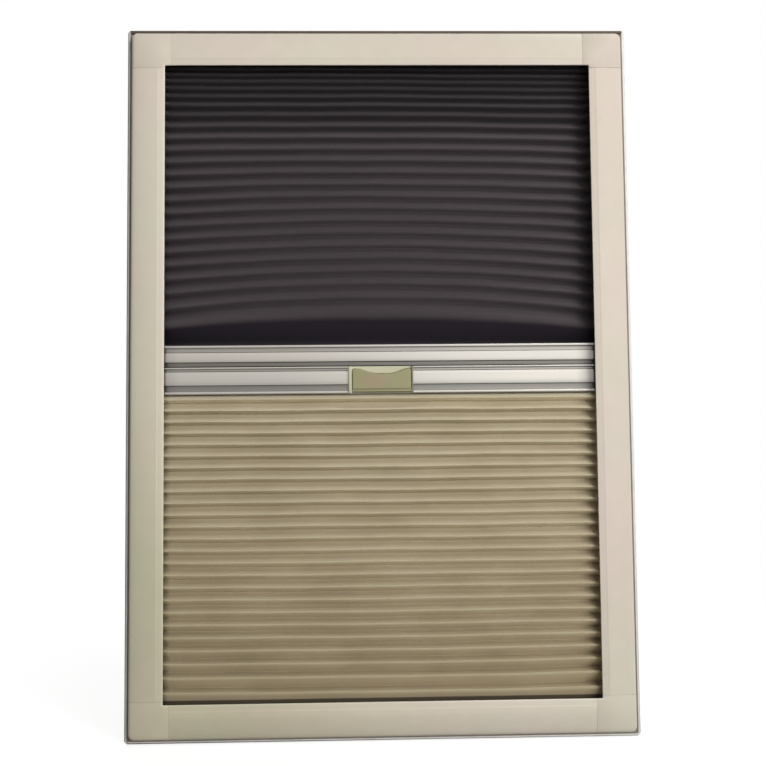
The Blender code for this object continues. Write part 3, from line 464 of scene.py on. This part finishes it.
sealRubber = rubberFinish("sealRubber", sealSet["inner"], sealSet["lip"])
shadedSealRubberTop = rubberFinish("shadedSealRubberTop", sealSet["topInner"], sealSet["topLip"])
satinAluminium = aluminiumFinish()
greyPlastic = plainFinish("greyPlastic", plasticSet)
plainSteel = plainFinish("plainSteel", steelSet)
paleHandle = handleFinish("paleHandle", handleTones["pale"])
oliveHandle = handleFinish("oliveHandle", handleTones["olive"])
insectNet = netFinish()
pleatedCloth = blindFinish()

dress(creamPaint, "left_profile", "right_profile", "top_profile", "bottom_profile")
dress(creamMoulding, *[name for name in nodes if name.startswith("corner_")])
# the seal between the rails takes the darker copy: a dark pile seal with painted shade for its recess
dress(shadedSealRubberTop, "meeting_seal")
dress(satinAluminium, "screen_rail", "blind_rail")
dress(greyPlastic, "screen_anchor", "blind_anchor", "screen_clamp", "blind_clamp")
dress(greyPlastic, *[name for name in nodes if "_cap_" in name or name.startswith("wire_anchor")])
dress(plainSteel, "guide_wire_left", "guide_wire_right", "latch_pin")
dress(plainSteel, *[name for name in nodes if "screw" in name or "spring" in name])
dress(paleHandle, "handle_base")
dress(oliveHandle, "handle_latch")
print("materials made")


sameSpot = 0.000002      # metres, points nearer than this are one
holeSides = 20


def pickVertices(test):
    bpy.ops.mesh.select_mode(type="VERT")
    bpy.ops.mesh.select_all(action="DESELECT")
    mesh = bmesh.from_edit_mesh(bpy.context.object.data)
    for vertex in mesh.verts:
        vertex.select = test(vertex.co)
    mesh.select_flush_mode()
    bmesh.update_edit_mesh(bpy.context.object.data)


def drawnBar(name, outlines, toSpace, along, finish, steps=4):
    # outlines of (across, up, rounding) in mm are laid out flat, rounded, filled and pulled out
    deselectAll()
    spots = []
    for number, outline in enumerate(outlines):
        bpy.ops.mesh.primitive_circle_add(vertices=len(outline), radius=0.01, fill_type="NOTHING")
        if not number:
            piece = bpy.context.object
            bpy.ops.object.mode_set(mode="EDIT")
        spots += [(Vector(toSpace(a / 1000, b / 1000)), rounding / 1000) for a, b, rounding in outline]
    mesh = bmesh.from_edit_mesh(piece.data)
    for vertex, (spot, _) in zip(mesh.verts, spots):
        vertex.co = spot
    bmesh.update_edit_mesh(piece.data)
    for spot, rounding in spots:
        if rounding:
            pickVertices(lambda place: (place - spot).length < 1e-6)
            bpy.ops.mesh.bevel(offset=rounding, segments=steps, affect="VERTICES")
    bpy.ops.mesh.select_all(action="SELECT")
    bpy.ops.mesh.fill()
    bpy.ops.mesh.extrude_region_move(TRANSFORM_OT_translate={"value": along})
    bpy.ops.mesh.select_all(action="SELECT")
    bpy.ops.mesh.normals_make_consistent(inside=False)
    bpy.ops.object.mode_set(mode="OBJECT")
    piece.data.materials.append(finish.material)
    return settle(piece, name)


def combined(piece, other, operation):
    change = piece.modifiers.new("change", "BOOLEAN")
    change.operation, change.solver, change.object = operation, "EXACT", other
    makeActive(piece)
    bpy.ops.object.modifier_apply(modifier="change")
    bpy.data.objects.remove(other, do_unlink=True)


def cutAway(piece, *cutters):
    for cutter in cutters:
        combined(piece, cutter, "DIFFERENCE")


def joins(piece, *others):
    # one piece of several solids that stand in each other
    for other in others:
        combined(piece, other, "UNION")


def boxBetween(low, high):
    deselectAll()
    low, high = Vector(low), Vector(high)
    bpy.ops.mesh.primitive_cube_add(size=1, location=(low + high) / 2, scale=high - low)
    return bpy.context.object


def drillAt(place, outward, headRadius, shankRadius, depth):
    # a countersunk hole's cutter: a cone into a round bar
    deselectAll()
    place, outward = Vector(place), Vector(outward)
    turn = outward.to_track_quat("Z", "Y").to_euler()
    sink, spare = headRadius - shankRadius, 0.0001      # the cone stands out of the face by a hair
    bpy.ops.mesh.primitive_cylinder_add(
        vertices=holeSides, radius=shankRadius, depth=depth, location=place + outward * (depth / 2 + sink / 2),
        rotation=turn
    )
    hole = bpy.context.object
    bpy.ops.mesh.primitive_cone_add(
        vertices=holeSides, radius1=headRadius + spare, radius2=shankRadius, depth=sink + spare,
        location=place + outward * (sink / 2 - spare / 2), rotation=turn
    )
    return hole, bpy.context.object


def smoothEdges(piece, angle=32):
    makeActive(piece)
    bpy.ops.object.shade_smooth_by_angle(angle=radians(angle))


def softened(piece, width, segments=2, angle=40, clamp=True):
    # the flat ends are made whole faces first, so that the rounding runs clean round them
    makeActive(piece)
    bpy.ops.object.mode_set(mode="EDIT")
    bpy.ops.mesh.select_all(action="SELECT")
    bpy.ops.mesh.dissolve_limited(angle_limit=radians(0.5))
    bpy.ops.object.mode_set(mode="OBJECT")
    soft = piece.modifiers.new("soft", "BEVEL")
    soft.width, soft.segments, soft.limit_method = width, segments, "ANGLE"
    soft.angle_limit, soft.use_clamp_overlap = radians(angle), clamp
    bpy.ops.object.modifier_apply(modifier="soft")
    smoothEdges(piece)


def standFor(piece, node, body):
    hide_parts(node)
    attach(piece, body)


barSet = {
    # (mm out from the opening's edge, mm of depth, rounding)
    "outline": [
        (0.0, -13.1, 0.15), (0.0, -14.1, 0.75), (6.0, -14.72, 0.4), (7.0, -15.0, 0.5), (17.0, -14.89, 0),
        (25.5, -14.5, 0), (30.5, -14.05, 0), (34.0, -13.2, 2.2), (34.0, -9.0, 0.4), (32.0, -9.0, 0),
        (32.0, -10.9, 0.5), (28.8, -12.56, 0), (28.8, -3.0, 0.3), (16.0, -3.0, 0.3), (16.0, 15.0, 0.4),
        (4.0, 15.0, 0.4), (4.0, 13.0, 0.2), (14.0, 13.0, 0.5), (14.0, -13.0, 0.5),
    ],
    "hollow": [(17.2, -13.0, 0), (26.8, -13.0, 0), (26.8, -5.0, 0), (17.2, -5.0, 0)],
    "halfOpening": 216.0, "openingEdges": {-1: 39.0, 1: 677.0},     # mm
    "sideStart": 0.0422, "sideLength": 0.6316, "endHalf": 0.2099, "cornerBevel": 0.0003,
    # radius of head and shank, and depth, then where the screws go through the channel
    "screw": (0.0036, 0.00205, 0.02), "screwPlace": 0.0065,
    "sideWall": 0.230, "sideScrews": (0.129, 0.358, 0.587),
    "endWalls": {-1: 0.025, 1: 0.691}, "endScrews": (-0.126, 0.126),
}


def drillBar(bar, places, outward):
    for place in places:
        cutAway(bar, *drillAt(place, outward, *barSet["screw"]))
    smoothEdges(bar)
    return bar


def sideBar(name, side):
    across, start, depth = barSet["halfOpening"], barSet["sideStart"], barSet["screwPlace"]
    outlines = [[(side * (across + u), y, r) for u, y, r in barSet[part]] for part in ("outline", "hollow")]
    bar = drawnBar(name, outlines, lambda a, b: (a, b, start), (0, 0, barSet["sideLength"]), creamPaint)
    places = [(side * barSet["sideWall"], depth, height) for height in barSet["sideScrews"]]
    return drillBar(bar, places, (side, 0, 0))


def endBar(name, side):
    edge, start, depth = barSet["openingEdges"][side], -barSet["endHalf"], barSet["screwPlace"]
    outlines = [[(y, edge + side * u, r) for u, y, r in barSet[part]] for part in ("outline", "hollow")]
    # the bottom bar takes the copy with its painted highlight and shade
    finish = creamPaint if side > 0 else creamPaintBottomShaded
    bar = drawnBar(name, outlines, lambda a, b: (start, a, b), (-2 * start, 0, 0), finish)
    places = [(x, depth, barSet["endWalls"][side]) for x in barSet["endScrews"]]
    return drillBar(bar, places, (0, 0, side))


def softCopy(node, name, finish, bevel):
    # a CAD piece's shape with its doubles merged and its edges softened
    piece = bpy.data.objects.new(name, nodes[node].data.copy())
    bpy.context.scene.collection.objects.link(piece)
    makeActive(piece)
    bpy.ops.object.mode_set(mode="EDIT")
    bpy.ops.mesh.select_all(action="SELECT")
    bpy.ops.mesh.remove_doubles(threshold=sameSpot)
    bpy.ops.object.mode_set(mode="OBJECT")
    softened(piece, bevel, angle=25)
    piece.data.materials.clear()
    piece.data.materials.append(finish.material)
    piece.data.name = name
    return piece


for label, side in (("left", -1), ("right", 1)):
    standFor(sideBar(f"{label}Bar", side), f"{label}_profile", "frame")
for label, side in (("bottom", -1), ("top", 1)):
    standFor(endBar(f"{label}Bar", side), f"{label}_profile", "frame")
for upDown in ("top", "bottom"):
    for side in ("left", "right"):
        node = f"corner_{upDown}_{side}"
        corner = softCopy(node, f"{upDown}{side.title()}Corner", creamMoulding, barSet["cornerBevel"])
        standFor(corner, node, "frame")

for edge in ("left", "right", "top", "bottom"):
    # a copy of the seal strip with its outer corners cut off at a slant
    # the top seal takes the darker copy, painted shade
    finish = shadedSealRubberTop if edge == "top" else sealRubber
    strip = softCopy(f"gasket_{edge}", f"{edge}Seal", finish, sealSet["bevel"])
    bpy.ops.object.mode_set(mode="EDIT")
    middle = sealSet["flange"]["middle"]
    for side, upDown in ((-1, -1), (-1, 1), (1, -1), (1, 1)):
        start = (side * sealSet["cutAcross"], 0, middle + upDown * middle)
        bpy.ops.mesh.select_all(action="SELECT")
        bpy.ops.mesh.bisect(plane_co=start, plane_no=(side, 0, upDown), use_fill=True, clear_outer=True)
    bpy.ops.object.mode_set(mode="OBJECT")
    standFor(strip, f"gasket_{edge}", "frame")
print("frame bars made")


railSet = {
    "halfLength": 0.2221,
    # outlines of (mm of depth, mm above the rail's lower edge, rounding)
    "screenBase": 370.4,
    "screenOutline": [
        (-6.0, 0, 0.3), (-6.0, 4.0, 0.3), (-9.4, 4.1, 0.6), (-9.53, 6.5, 0), (-9.6, 9.0, 0), (-9.53, 11.5, 0),
        (-9.4, 13.9, 0.5), (-8.0, 14.3, 0.3), (-8.0, 18.4, 0.3), (-11.3, 18.5, 0.6), (-11.3, 21.0, 0.7),
        (0.0, 21.0, 0.2), (0.0, 19.8, 0), (-2.0, 19.8, 0), (-2.0, 16.6, 0), (6.0, 16.6, 0), (6.0, 19.8, 0),
        (4.0, 19.8, 0), (4.0, 21.0, 0.2), (11.3, 21.0, 0.5), (11.3, 0, 0.5),
        (8.9, 0, 0.1), (8.9, 3.0, 0), (5.5, 3.0, 0), (5.5, 0, 0.1),
    ],
    "screenHollow": [(-4.6, 4.4, 0), (9.9, 4.4, 0), (9.9, 15.2, 0), (-4.6, 15.2, 0)],
    "blindBase": 342.1,
    "blindOutline": [
        (-11.3, 0, 1.2), (-11.3, 3.0, 0.9), (-6.5, 3.1, 0.3), (-6.5, 9.1, 0.3), (-9.4, 9.2, 0.6),
        (-9.53, 13.0, 0), (-9.6, 16.1, 0), (-9.53, 19.5, 0), (-9.4, 23.0, 0.5), (-8.0, 23.4, 0.2),
        (-8.0, 25.4, 0.2), (-11.3, 25.5, 0.9), (-11.3, 27.5, 0.9), (11.3, 27.5, 0.5), (11.3, 0, 0.5),
        (0.75, 0, 0.2), (0.75, 1.2, 0), (2.75, 1.2, 0), (2.75, 4.4, 0), (-5.25, 4.4, 0), (-5.25, 1.2, 0),
        (-3.25, 1.2, 0), (-3.25, 0, 0.2),
    ],
    "blindHollow": [(-6.8, 9.6, 0), (9.9, 9.6, 0), (9.9, 25.6, 0), (-6.8, 25.6, 0)],
    # boxes cut out, in metres: the tongue's pocket, then room for the handle's base, the tongue and its arm
    "screenCuts": [((-0.0046, -0.0035, 0.3684), (0.0046, 0.0036, 0.3750))],
    "blindCuts": [
        ((-0.0328, -0.0170, 0.3401), (0.0328, -0.0085, 0.3716)),
        ((-0.0046, -0.0035, 0.3656), (0.0046, 0.0036, 0.3716)),
        ((-0.0046, -0.0150, 0.3578), (0.0046, -0.0058, 0.3624)),
    ],
    # holes for the screws of the handle's base, as (across, depth, up)
    "holes": ((-0.020, -0.0080, 0.35585), (0.020, -0.0080, 0.35585)), "holeRadius": 0.0014, "holeDepth": 0.006,
}


def rail(part):
    base, start = railSet[f"{part}Base"], -railSet["halfLength"]
    outlines = [[(y, base + z, r) for y, z, r in railSet[f"{part}{loop}"]] for loop in ("Outline", "Hollow")]
    piece = drawnBar(f"{part}Rail", outlines, lambda a, b: (start, a, b), (-2 * start, 0, 0), satinAluminium)
    for low, high in railSet[f"{part}Cuts"]:
        cutAway(piece, boxBetween(low, high))
    return piece


screenRail, blindRail = rail("screen"), rail("blind")
for place in railSet["holes"]:
    deselectAll()
    bpy.ops.mesh.primitive_cylinder_add(
        vertices=holeSides, radius=railSet["holeRadius"], depth=railSet["holeDepth"], location=place,
        rotation=(pi / 2, 0, 0)
    )
    cutAway(blindRail, bpy.context.object)
for piece, node in ((screenRail, "screen_rail"), (blindRail, "blind_rail")):
    smoothEdges(piece)
    standFor(piece, node, node)
print("rails made")


handleSet = {
    # plan of the base, (mm across, mm of depth, rounding)
    "base": [
        (-32.5, -8.8, 0.3), (32.5, -8.8, 0.3), (32.5, -14.5, 0.5), (30.9, -14.5, 0.4), (30.9, -11.2, 0.2),
        (-28.9, -11.2, 0.3), (-28.9, -14.5, 0.9), (-32.5, -14.5, 1.0),
    ],
    "baseLow": 0.3424, "baseHeight": 0.0269, "baseBevel": 0.0003,
    "armSlot": ((-0.0046, -0.0113, 0.3578), (0.0046, -0.0087, 0.3624)),
    "screws": ((-0.020, -0.0112, 0.35585), (0.020, -0.0112, 0.35585)), "screw": (0.00225, 0.0013, 0.010),
    # the lever's face, (mm across, mm up, rounding)
    "face": [
        (-28.6, 343.7, 0), (30.6, 343.7, 0), (30.6, 367.2, 2.2), (24.6, 367.2, 3.4), (12.4, 362.0, 6.5),
        (-7.4, 362.0, 6.5), (-21.4, 367.2, 4.2), (-28.6, 367.2, 2.2),
    ],
    "front": -0.0149, "thick": 0.0034, "cornerSteps": 8, "rim": 0.0012, "rimSteps": 5,
    # the rounded foot and the pin's hole, both along the hinge: (left, right, radius, sides)
    "hinge": (-0.0132, 0.3447), "foot": (-0.0286, 0.0306, 0.0017, 32),
    "pinHole": (-0.0319, 0.0319, 0.0009, holeSides),
    "groove": ((-0.0272, -0.0160, 0.3458), (0.0292, -0.0143, 0.3468)),
    # the arm and tongue behind it, (mm of depth, mm up, rounding), and the plate that the springs press on
    "arm": [
        (-11.7, 358.6, 0), (3.0, 358.6, 0.3), (3.0, 372.7, 0.6), (1.0, 372.7, 0.6), (1.0, 361.0, 0.3),
        (-11.7, 361.0, 0),
    ],
    "armHalf": 0.004, "plate": ((-0.0095, 0.0010, 0.3586), (0.0095, 0.0030, 0.3635)),
}


def rodAlongHinge(left, right, radius, sides):
    deselectAll()
    middle = ((left + right) / 2, *handleSet["hinge"])
    bpy.ops.mesh.primitive_cylinder_add(
        vertices=sides, radius=radius, depth=right - left, location=middle, rotation=(0, pi / 2, 0)
    )
    return bpy.context.object


def handleBase():
    low, height = handleSet["baseLow"], handleSet["baseHeight"]
    base = drawnBar("handleBase", [handleSet["base"]], lambda a, b: (a, b, low), (0, 0, height), paleHandle)
    softened(base, handleSet["baseBevel"])
    cutAway(base, boxBetween(*handleSet["armSlot"]), rodAlongHinge(*handleSet["pinHole"]))
    for place in handleSet["screws"]:
        cutAway(base, *drillAt(place, (0, 1, 0), *handleSet["screw"]))
    return base


def handleLever():
    front, thick, half = handleSet["front"], handleSet["thick"], handleSet["armHalf"]
    outline, steps = [handleSet["face"]], handleSet["cornerSteps"]
    lever = drawnBar("handleLatch", outline, lambda a, b: (a, front, b), (0, thick, 0), oliveHandle, steps)
    softened(lever, handleSet["rim"], handleSet["rimSteps"], clamp=False)
    joins(lever, rodAlongHinge(*handleSet["foot"]))
    cutAway(lever, boxBetween(*handleSet["groove"]))
    arm = drawnBar("leverArm", [handleSet["arm"]], lambda a, b: (-half, a, b), (2 * half, 0, 0), oliveHandle)
    joins(lever, arm, boxBetween(*handleSet["plate"]))
    smoothEdges(lever)
    return lever


standFor(handleBase(), "handle_base", "blind_rail")
standFor(handleLever(), "handle_latch", "latch")
print("handle made")


springSet = {
    "front": -0.0066, "back": 0.0008, "height": 0.3618, "across": 0.0070,
    "radius": 0.0017, "wire": 0.00022, "wireSides": 8, "turns": 5, "steps": 20, "smooth": 50, "pressed": 0.60,
}


def latchSpring(name, across):
    # a ring of wire wound up by a screw, then laid down between the rail's face and the latch
    deselectAll()
    bpy.ops.mesh.primitive_circle_add(
        vertices=springSet["wireSides"], radius=springSet["wire"], location=(springSet["radius"], 0, 0),
        rotation=(pi / 2, 0, 0)
    )
    spring = bpy.context.object
    bpy.ops.object.transform_apply(location=True, rotation=True, scale=True)
    wind = spring.modifiers.new("wind", "SCREW")
    rise = springSet["back"] - springSet["front"] - 2 * springSet["wire"]
    wind.screw_offset, wind.iterations = rise / springSet["turns"], springSet["turns"]
    wind.steps = wind.render_steps = springSet["steps"]
    bpy.ops.object.modifier_apply(modifier="wind")
    bpy.ops.object.mode_set(mode="EDIT")
    bpy.ops.mesh.select_all(action="SELECT")
    bpy.ops.mesh.remove_doubles(threshold=sameSpot)
    bpy.ops.mesh.fill_holes(sides=springSet["wireSides"])
    bpy.ops.mesh.normals_make_consistent(inside=False)
    bpy.ops.object.mode_set(mode="OBJECT")
    spring.location = (across, springSet["front"] + springSet["wire"], springSet["height"])
    spring.rotation_euler = (-pi / 2, 0, 0)
    spring.data.materials.append(plainSteel.material)
    smoothEdges(spring, springSet["smooth"])
    return settle(spring, name)


for label, side in (("left", -1), ("right", 1)):
    spring = latchSpring(f"{label}Spring", side * springSet["across"])
    standFor(spring, f"latch_spring_{label}", "blind_rail")
    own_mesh(spring)
print("springs made")


foldSet = {
    # pleats that the tight start and the slack end reach over, and how the arch grows
    "tightReach": 6, "slackReach": 0.9, "archPower": 1.4,
    # points round a fold, share of a run that it may take up, the longest flat step, rows without ripples
    "roundSteps": 3, "roundShare": 0.45, "longest": 0.0035, "calmRows": 12,
    # ripples of (turn per metre across, per metre up, start), the second and the one in depth weaker
    "ripples": ((23, 41, 0.0), (57, -67, 1.3), (37, 83, 0.7)), "second": 0.6, "inDepth": 0.5,
}


def roundedFolds(corners, radius):
    # a path through the fold points with each fold rounded, as (y, z, arch) rows
    path, steps, most = [corners[0]], foldSet["roundSteps"], foldSet["roundShare"]
    for before, fold, after in zip(corners, corners[1:], corners[2:]):
        start = fold + (before - fold).normalized() * min(radius, most * (before - fold).length)
        end = fold + (after - fold).normalized() * min(radius, most * (after - fold).length)
        for step in range(steps + 1):
            t = step / steps
            path.append(start * (1 - t) ** 2 + fold * 2 * t * (1 - t) + end * t * t)
    path.append(corners[-1])
    return path


def withFacetPoints(path, sag):
    # points along the flat runs, which sag a little as cloth does
    filled = [path[0]]
    for before, after in zip(path, path[1:]):
        count = int((after - before).length / foldSet["longest"]) + 1
        for step in range(1, count):
            t = step / count
            point = before.lerp(after, t)
            point.y -= sag * 4 * t * (1 - t)
            filled.append(point)
        filled.append(after)
    return filled


def pleatShares(settings):
    # how wide each pleat is beside the others, from the top one down
    count, shares = settings["pleats"], []
    for k in range(count):
        share = 1 + settings["growth"] * (k / (count - 1))
        share -= settings["tight"] * exp(-(k / foldSet["tightReach"]) ** 3)
        shares.append(share + settings["slack"] * exp((k + 1 - count) / foldSet["slackReach"]))
    return shares


def pleatRows(settings):
    # the cloth's side view, from its lower end to its upper one
    level, slot, tail = settings["top"], settings["slot"], settings["tail"]
    span = settings["top"] - settings["bottom"]
    corners = [Vector((slot, level + tail, 0))]
    shares = pleatShares(settings)
    unit = span / sum(shares)
    for k, share in enumerate(shares):
        pitch = share * unit
        done = (settings["top"] - level) / span
        last = k == len(shares) - 1
        droop = settings["lastDroop" if last else "droop"] + settings["lower"] * done ** 2
        archHere = settings["arch"] * done ** foldSet["archPower"]
        archNext = 0.0 if last else settings["arch"] * min(1.0, done + pitch / span) ** foldSet["archPower"]
        if k or slot != settings["front"]:
            corners.append(Vector((settings["front"], level, archHere)))
        rear = archHere + (archNext - archHere) * droop
        corners.append(Vector((settings["rear"], level - droop * pitch, rear)))
        level -= pitch
    if slot != settings["front"]:
        corners.append(Vector((settings["front"], level, 0)))
    corners.append(Vector((slot, settings["bottom"], 0)))
    corners.append(Vector((slot, settings["bottom"] - tail, 0)))
    corners.reverse()
    return withFacetPoints(roundedFolds(corners, settings["radius"]), settings["sag"])


def ripple(number, x, height):
    across, up, start = foldSet["ripples"][number]
    return sin(across * x + up * height + start)


def pleatedSheet(name, settings, finish):
    # rows run from the lower end to the upper one, columns from left to right
    rows, columns, half = pleatRows(settings), settings["columns"], settings["width"] / 2
    lastRow = len(rows) - 1
    deselectAll()
    bpy.ops.mesh.primitive_grid_add(x_subdivisions=columns, y_subdivisions=lastRow, size=1)
    sheet = bpy.context.object
    lengths = [0.0]
    for before, after in zip(rows, rows[1:]):
        lengths.append(lengths[-1] + Vector((after.x - before.x, after.y - before.y)).length)
    mesh = sheet.data
    placeOf = []
    for vertex in mesh.vertices:
        column, row = round((vertex.co.x + 0.5) * columns), round((vertex.co.y + 0.5) * lastRow)
        placeOf.append((column, row))
        x = half * (2 * column / columns - 1)
        depth, height, arch = rows[row]
        free = min(1.0, row / foldSet["calmRows"], (lastRow - row) / foldSet["calmRows"])
        wave = settings["wave"] * free
        height += arch * (1 - (x / half) ** 2)
        height += wave * (ripple(0, x, height) + foldSet["second"] * ripple(1, x, height))
        height -= settings["lean"] * free * x / half
        depth += foldSet["inDepth"] * wave * ripple(2, x, height)
        vertex.co = (x, depth, height)
    # its own flat metres as UV
    flat = mesh.uv_layers.active.data
    for loop in mesh.loops:
        column, row = placeOf[loop.vertex_index]
        flat[loop.index].uv = (settings["width"] * column / columns, lengths[row])
    wall = sheet.modifiers.new("clothWall", "SOLIDIFY")
    wall.thickness, wall.offset = settings["thick"], 0.0
    makeActive(sheet)
    bpy.ops.object.modifier_apply(modifier="clothWall")
    bpy.ops.object.shade_smooth()
    mesh.materials.append(finish.material)
    settle(sheet, name)
    print(name, "has", len(rows), "rows and is", round(lengths[-1], 4), "long when flat")
    return sheet


netPleats = {
    "top": 0.6863, "bottom": 0.3918, "tail": 0.0020, "slot": 0.0020,
    "front": 0.0020, "rear": 0.0088, "width": 0.443, "thick": 0.00045,
    "pleats": 24, "growth": 0.27, "tight": 0.42, "slack": 0.55,
    "droop": 0.28, "lastDroop": 0.92, "lower": 0.0, "radius": 0.0024, "sag": 0.0004,
    "arch": 0.0150, "lean": 0.0015, "wave": 0.00022, "columns": 56,
}
blindPleats = {
    "top": 0.3373, "bottom": 0.0299, "tail": 0.0060, "slot": -0.00125,
    "front": -0.0075, "rear": 0.0048, "width": 0.443, "thick": 0.00045,
    "pleats": 25, "growth": 0.135, "tight": 0.0, "slack": 0.57,
    "droop": 0.28, "lastDroop": 0.28, "lower": 0.75, "radius": 0.0010, "sag": 0.0004,
    "arch": -0.0015, "lean": 0.0, "wave": 0.00022, "columns": 48,
}

netCloth = pleatedSheet("netCloth", netPleats, insectNet)
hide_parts("screen_cloth")
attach(netCloth, "frame")
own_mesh(netCloth)

blindCloth = pleatedSheet("blindCloth", blindPleats, pleatedCloth)
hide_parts("blind_cloth")
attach(blindCloth, "frame")
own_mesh(blindCloth)
print("cloths made")


lightSet = {
    "front": {"place": (1.75, -2.25, 0.86), "size": (2.0, 0.6), "watts": 48, "colour": (1.0, 0.99, 0.975)},
    "key": {"place": (0.95, -1.10, 2.20), "size": (0.45, 0.45), "watts": 15, "colour": (1.0, 0.985, 0.96)},
    "rails": {"place": (0.48, -1.30, 0.50), "size": (0.9, 0.9), "watts": 3.2, "colour": (1.0, 0.99, 0.98)},
    "back": {"place": (-0.70, 1.60, 1.30), "size": (1.0, 1.0), "watts": 20, "colour": (1.0, 0.995, 0.99)},
}
roomSet = {
    "aim": (0, 0, 0.36), "shiny": ("key", "rails"),            # the lamps that show in the metal
    "level": 0.07,                                             # the room's even light
    "floorSize": 12, "floorHeight": -0.0005, "floorColour": (120, 120, 118), "floorRough": 0.9,
    "floorLift": 0.80,                                         # how much of the floor's white takes no shadow
    "floorShade": 0.42, "floorFade": (0.35, 1.1, 0.0, 1.0),    # fade as from and to metres, from and to value
}


def areaLight(label, settings):
    data = bpy.data.lights.new(f"{label}Light", "AREA")
    data.shape = "RECTANGLE"
    data.size, data.size_y = settings["size"]
    data.energy = settings["watts"]
    data.color = settings["colour"]
    lamp = bpy.data.objects.new(f"{label}Light", data)
    lamp.location = settings["place"]
    lamp.rotation_euler = (Vector(roomSet["aim"]) - lamp.location).to_track_quat("-Z", "Y").to_euler()
    lamp.visible_glossy = label in roomSet["shiny"]
    bpy.context.scene.collection.objects.link(lamp)


def seenBy(tree, *rays):
    # 1 for the named kinds of ray and 0 for the others
    path = tree.nodes.new("ShaderNodeLightPath")
    share = path.outputs[f"Is {rays[0]} Ray"]
    for ray in rays[1:]:
        most = tree.nodes.new("ShaderNodeMath")
        most.operation = "MAXIMUM"
        tree.links.new(share, most.inputs[0])
        tree.links.new(path.outputs[f"Is {ray} Ray"], most.inputs[1])
        share = most.outputs[0]
    return share


def chosen(tree, share, first, second, output):
    # the first shader where the share is 0, the second where it is 1
    choose = tree.nodes.new("ShaderNodeMixShader")
    for socket, source in zip(choose.inputs, (share, first.outputs[0], second.outputs[0])):
        tree.links.new(source, socket)
    tree.links.new(choose.outputs[0], tree.nodes[output].inputs["Surface"])


def stageFloor():
    # to the camera: white with a soft shadow near the piece, fading to plain white further out
    deselectAll()
    bpy.ops.mesh.primitive_plane_add(size=roomSet["floorSize"], location=(0, 0, roomSet["floorHeight"]))
    floor = bpy.context.object
    made = Finish("paleFloor", roomSet["floorColour"], roomSet["floorRough"])
    away = made.node("ShaderNodeVectorMath", operation="LENGTH")
    made.link(made.place(), away.inputs[0])
    far = made.node("ShaderNodeMapRange", interpolation_type="SMOOTHSTEP")
    for socket, value in zip(far.inputs[1:5], roomSet["floorFade"]):
        socket.default_value = value
    made.link(away.outputs["Value"], far.inputs[0])
    lift, shade = roomSet["floorLift"], roomSet["floorShade"]
    glow = made.node("ShaderNodeEmission")
    made.link(made.sums("MULTIPLY_ADD", far.outputs[0], 1 - lift, lift), glow.inputs["Strength"])
    dull = made.node("ShaderNodeBsdfDiffuse")
    made.link(made.sums("MULTIPLY_ADD", far.outputs[0], -shade, shade), dull.inputs["Color"])
    seen = made.node("ShaderNodeAddShader")
    made.link(glow.outputs[0], seen.inputs[0])
    made.link(dull.outputs[0], seen.inputs[1])
    chosen(made.tree, seenBy(made.tree, "Camera", "Glossy"), made.shader, seen, "Material Output")
    floor.data.materials.append(made.material)
    settle(floor, "stageFloor")


def roomLight():
    # plain white to look at and in mirrors, and a low even light on everything else
    world = bpy.data.worlds.new("softRoom")
    bpy.context.scene.world = world
    world.use_nodes = True
    tree = world.node_tree
    own, white = tree.nodes["Background"], tree.nodes.new("ShaderNodeBackground")
    for background, strength in ((own, roomSet["level"]), (white, 1.0)):
        background.inputs["Color"].default_value = (1, 1, 1, 1)
        background.inputs["Strength"].default_value = strength
    chosen(tree, seenBy(tree, "Camera", "Glossy", "Transmission"), own, white, "World Output")


stageFloor()
roomLight()
for label, settings in lightSet.items():
    areaLight(label, settings)
bpy.context.scene.view_settings.view_transform = "Standard"
print("floor and light set")
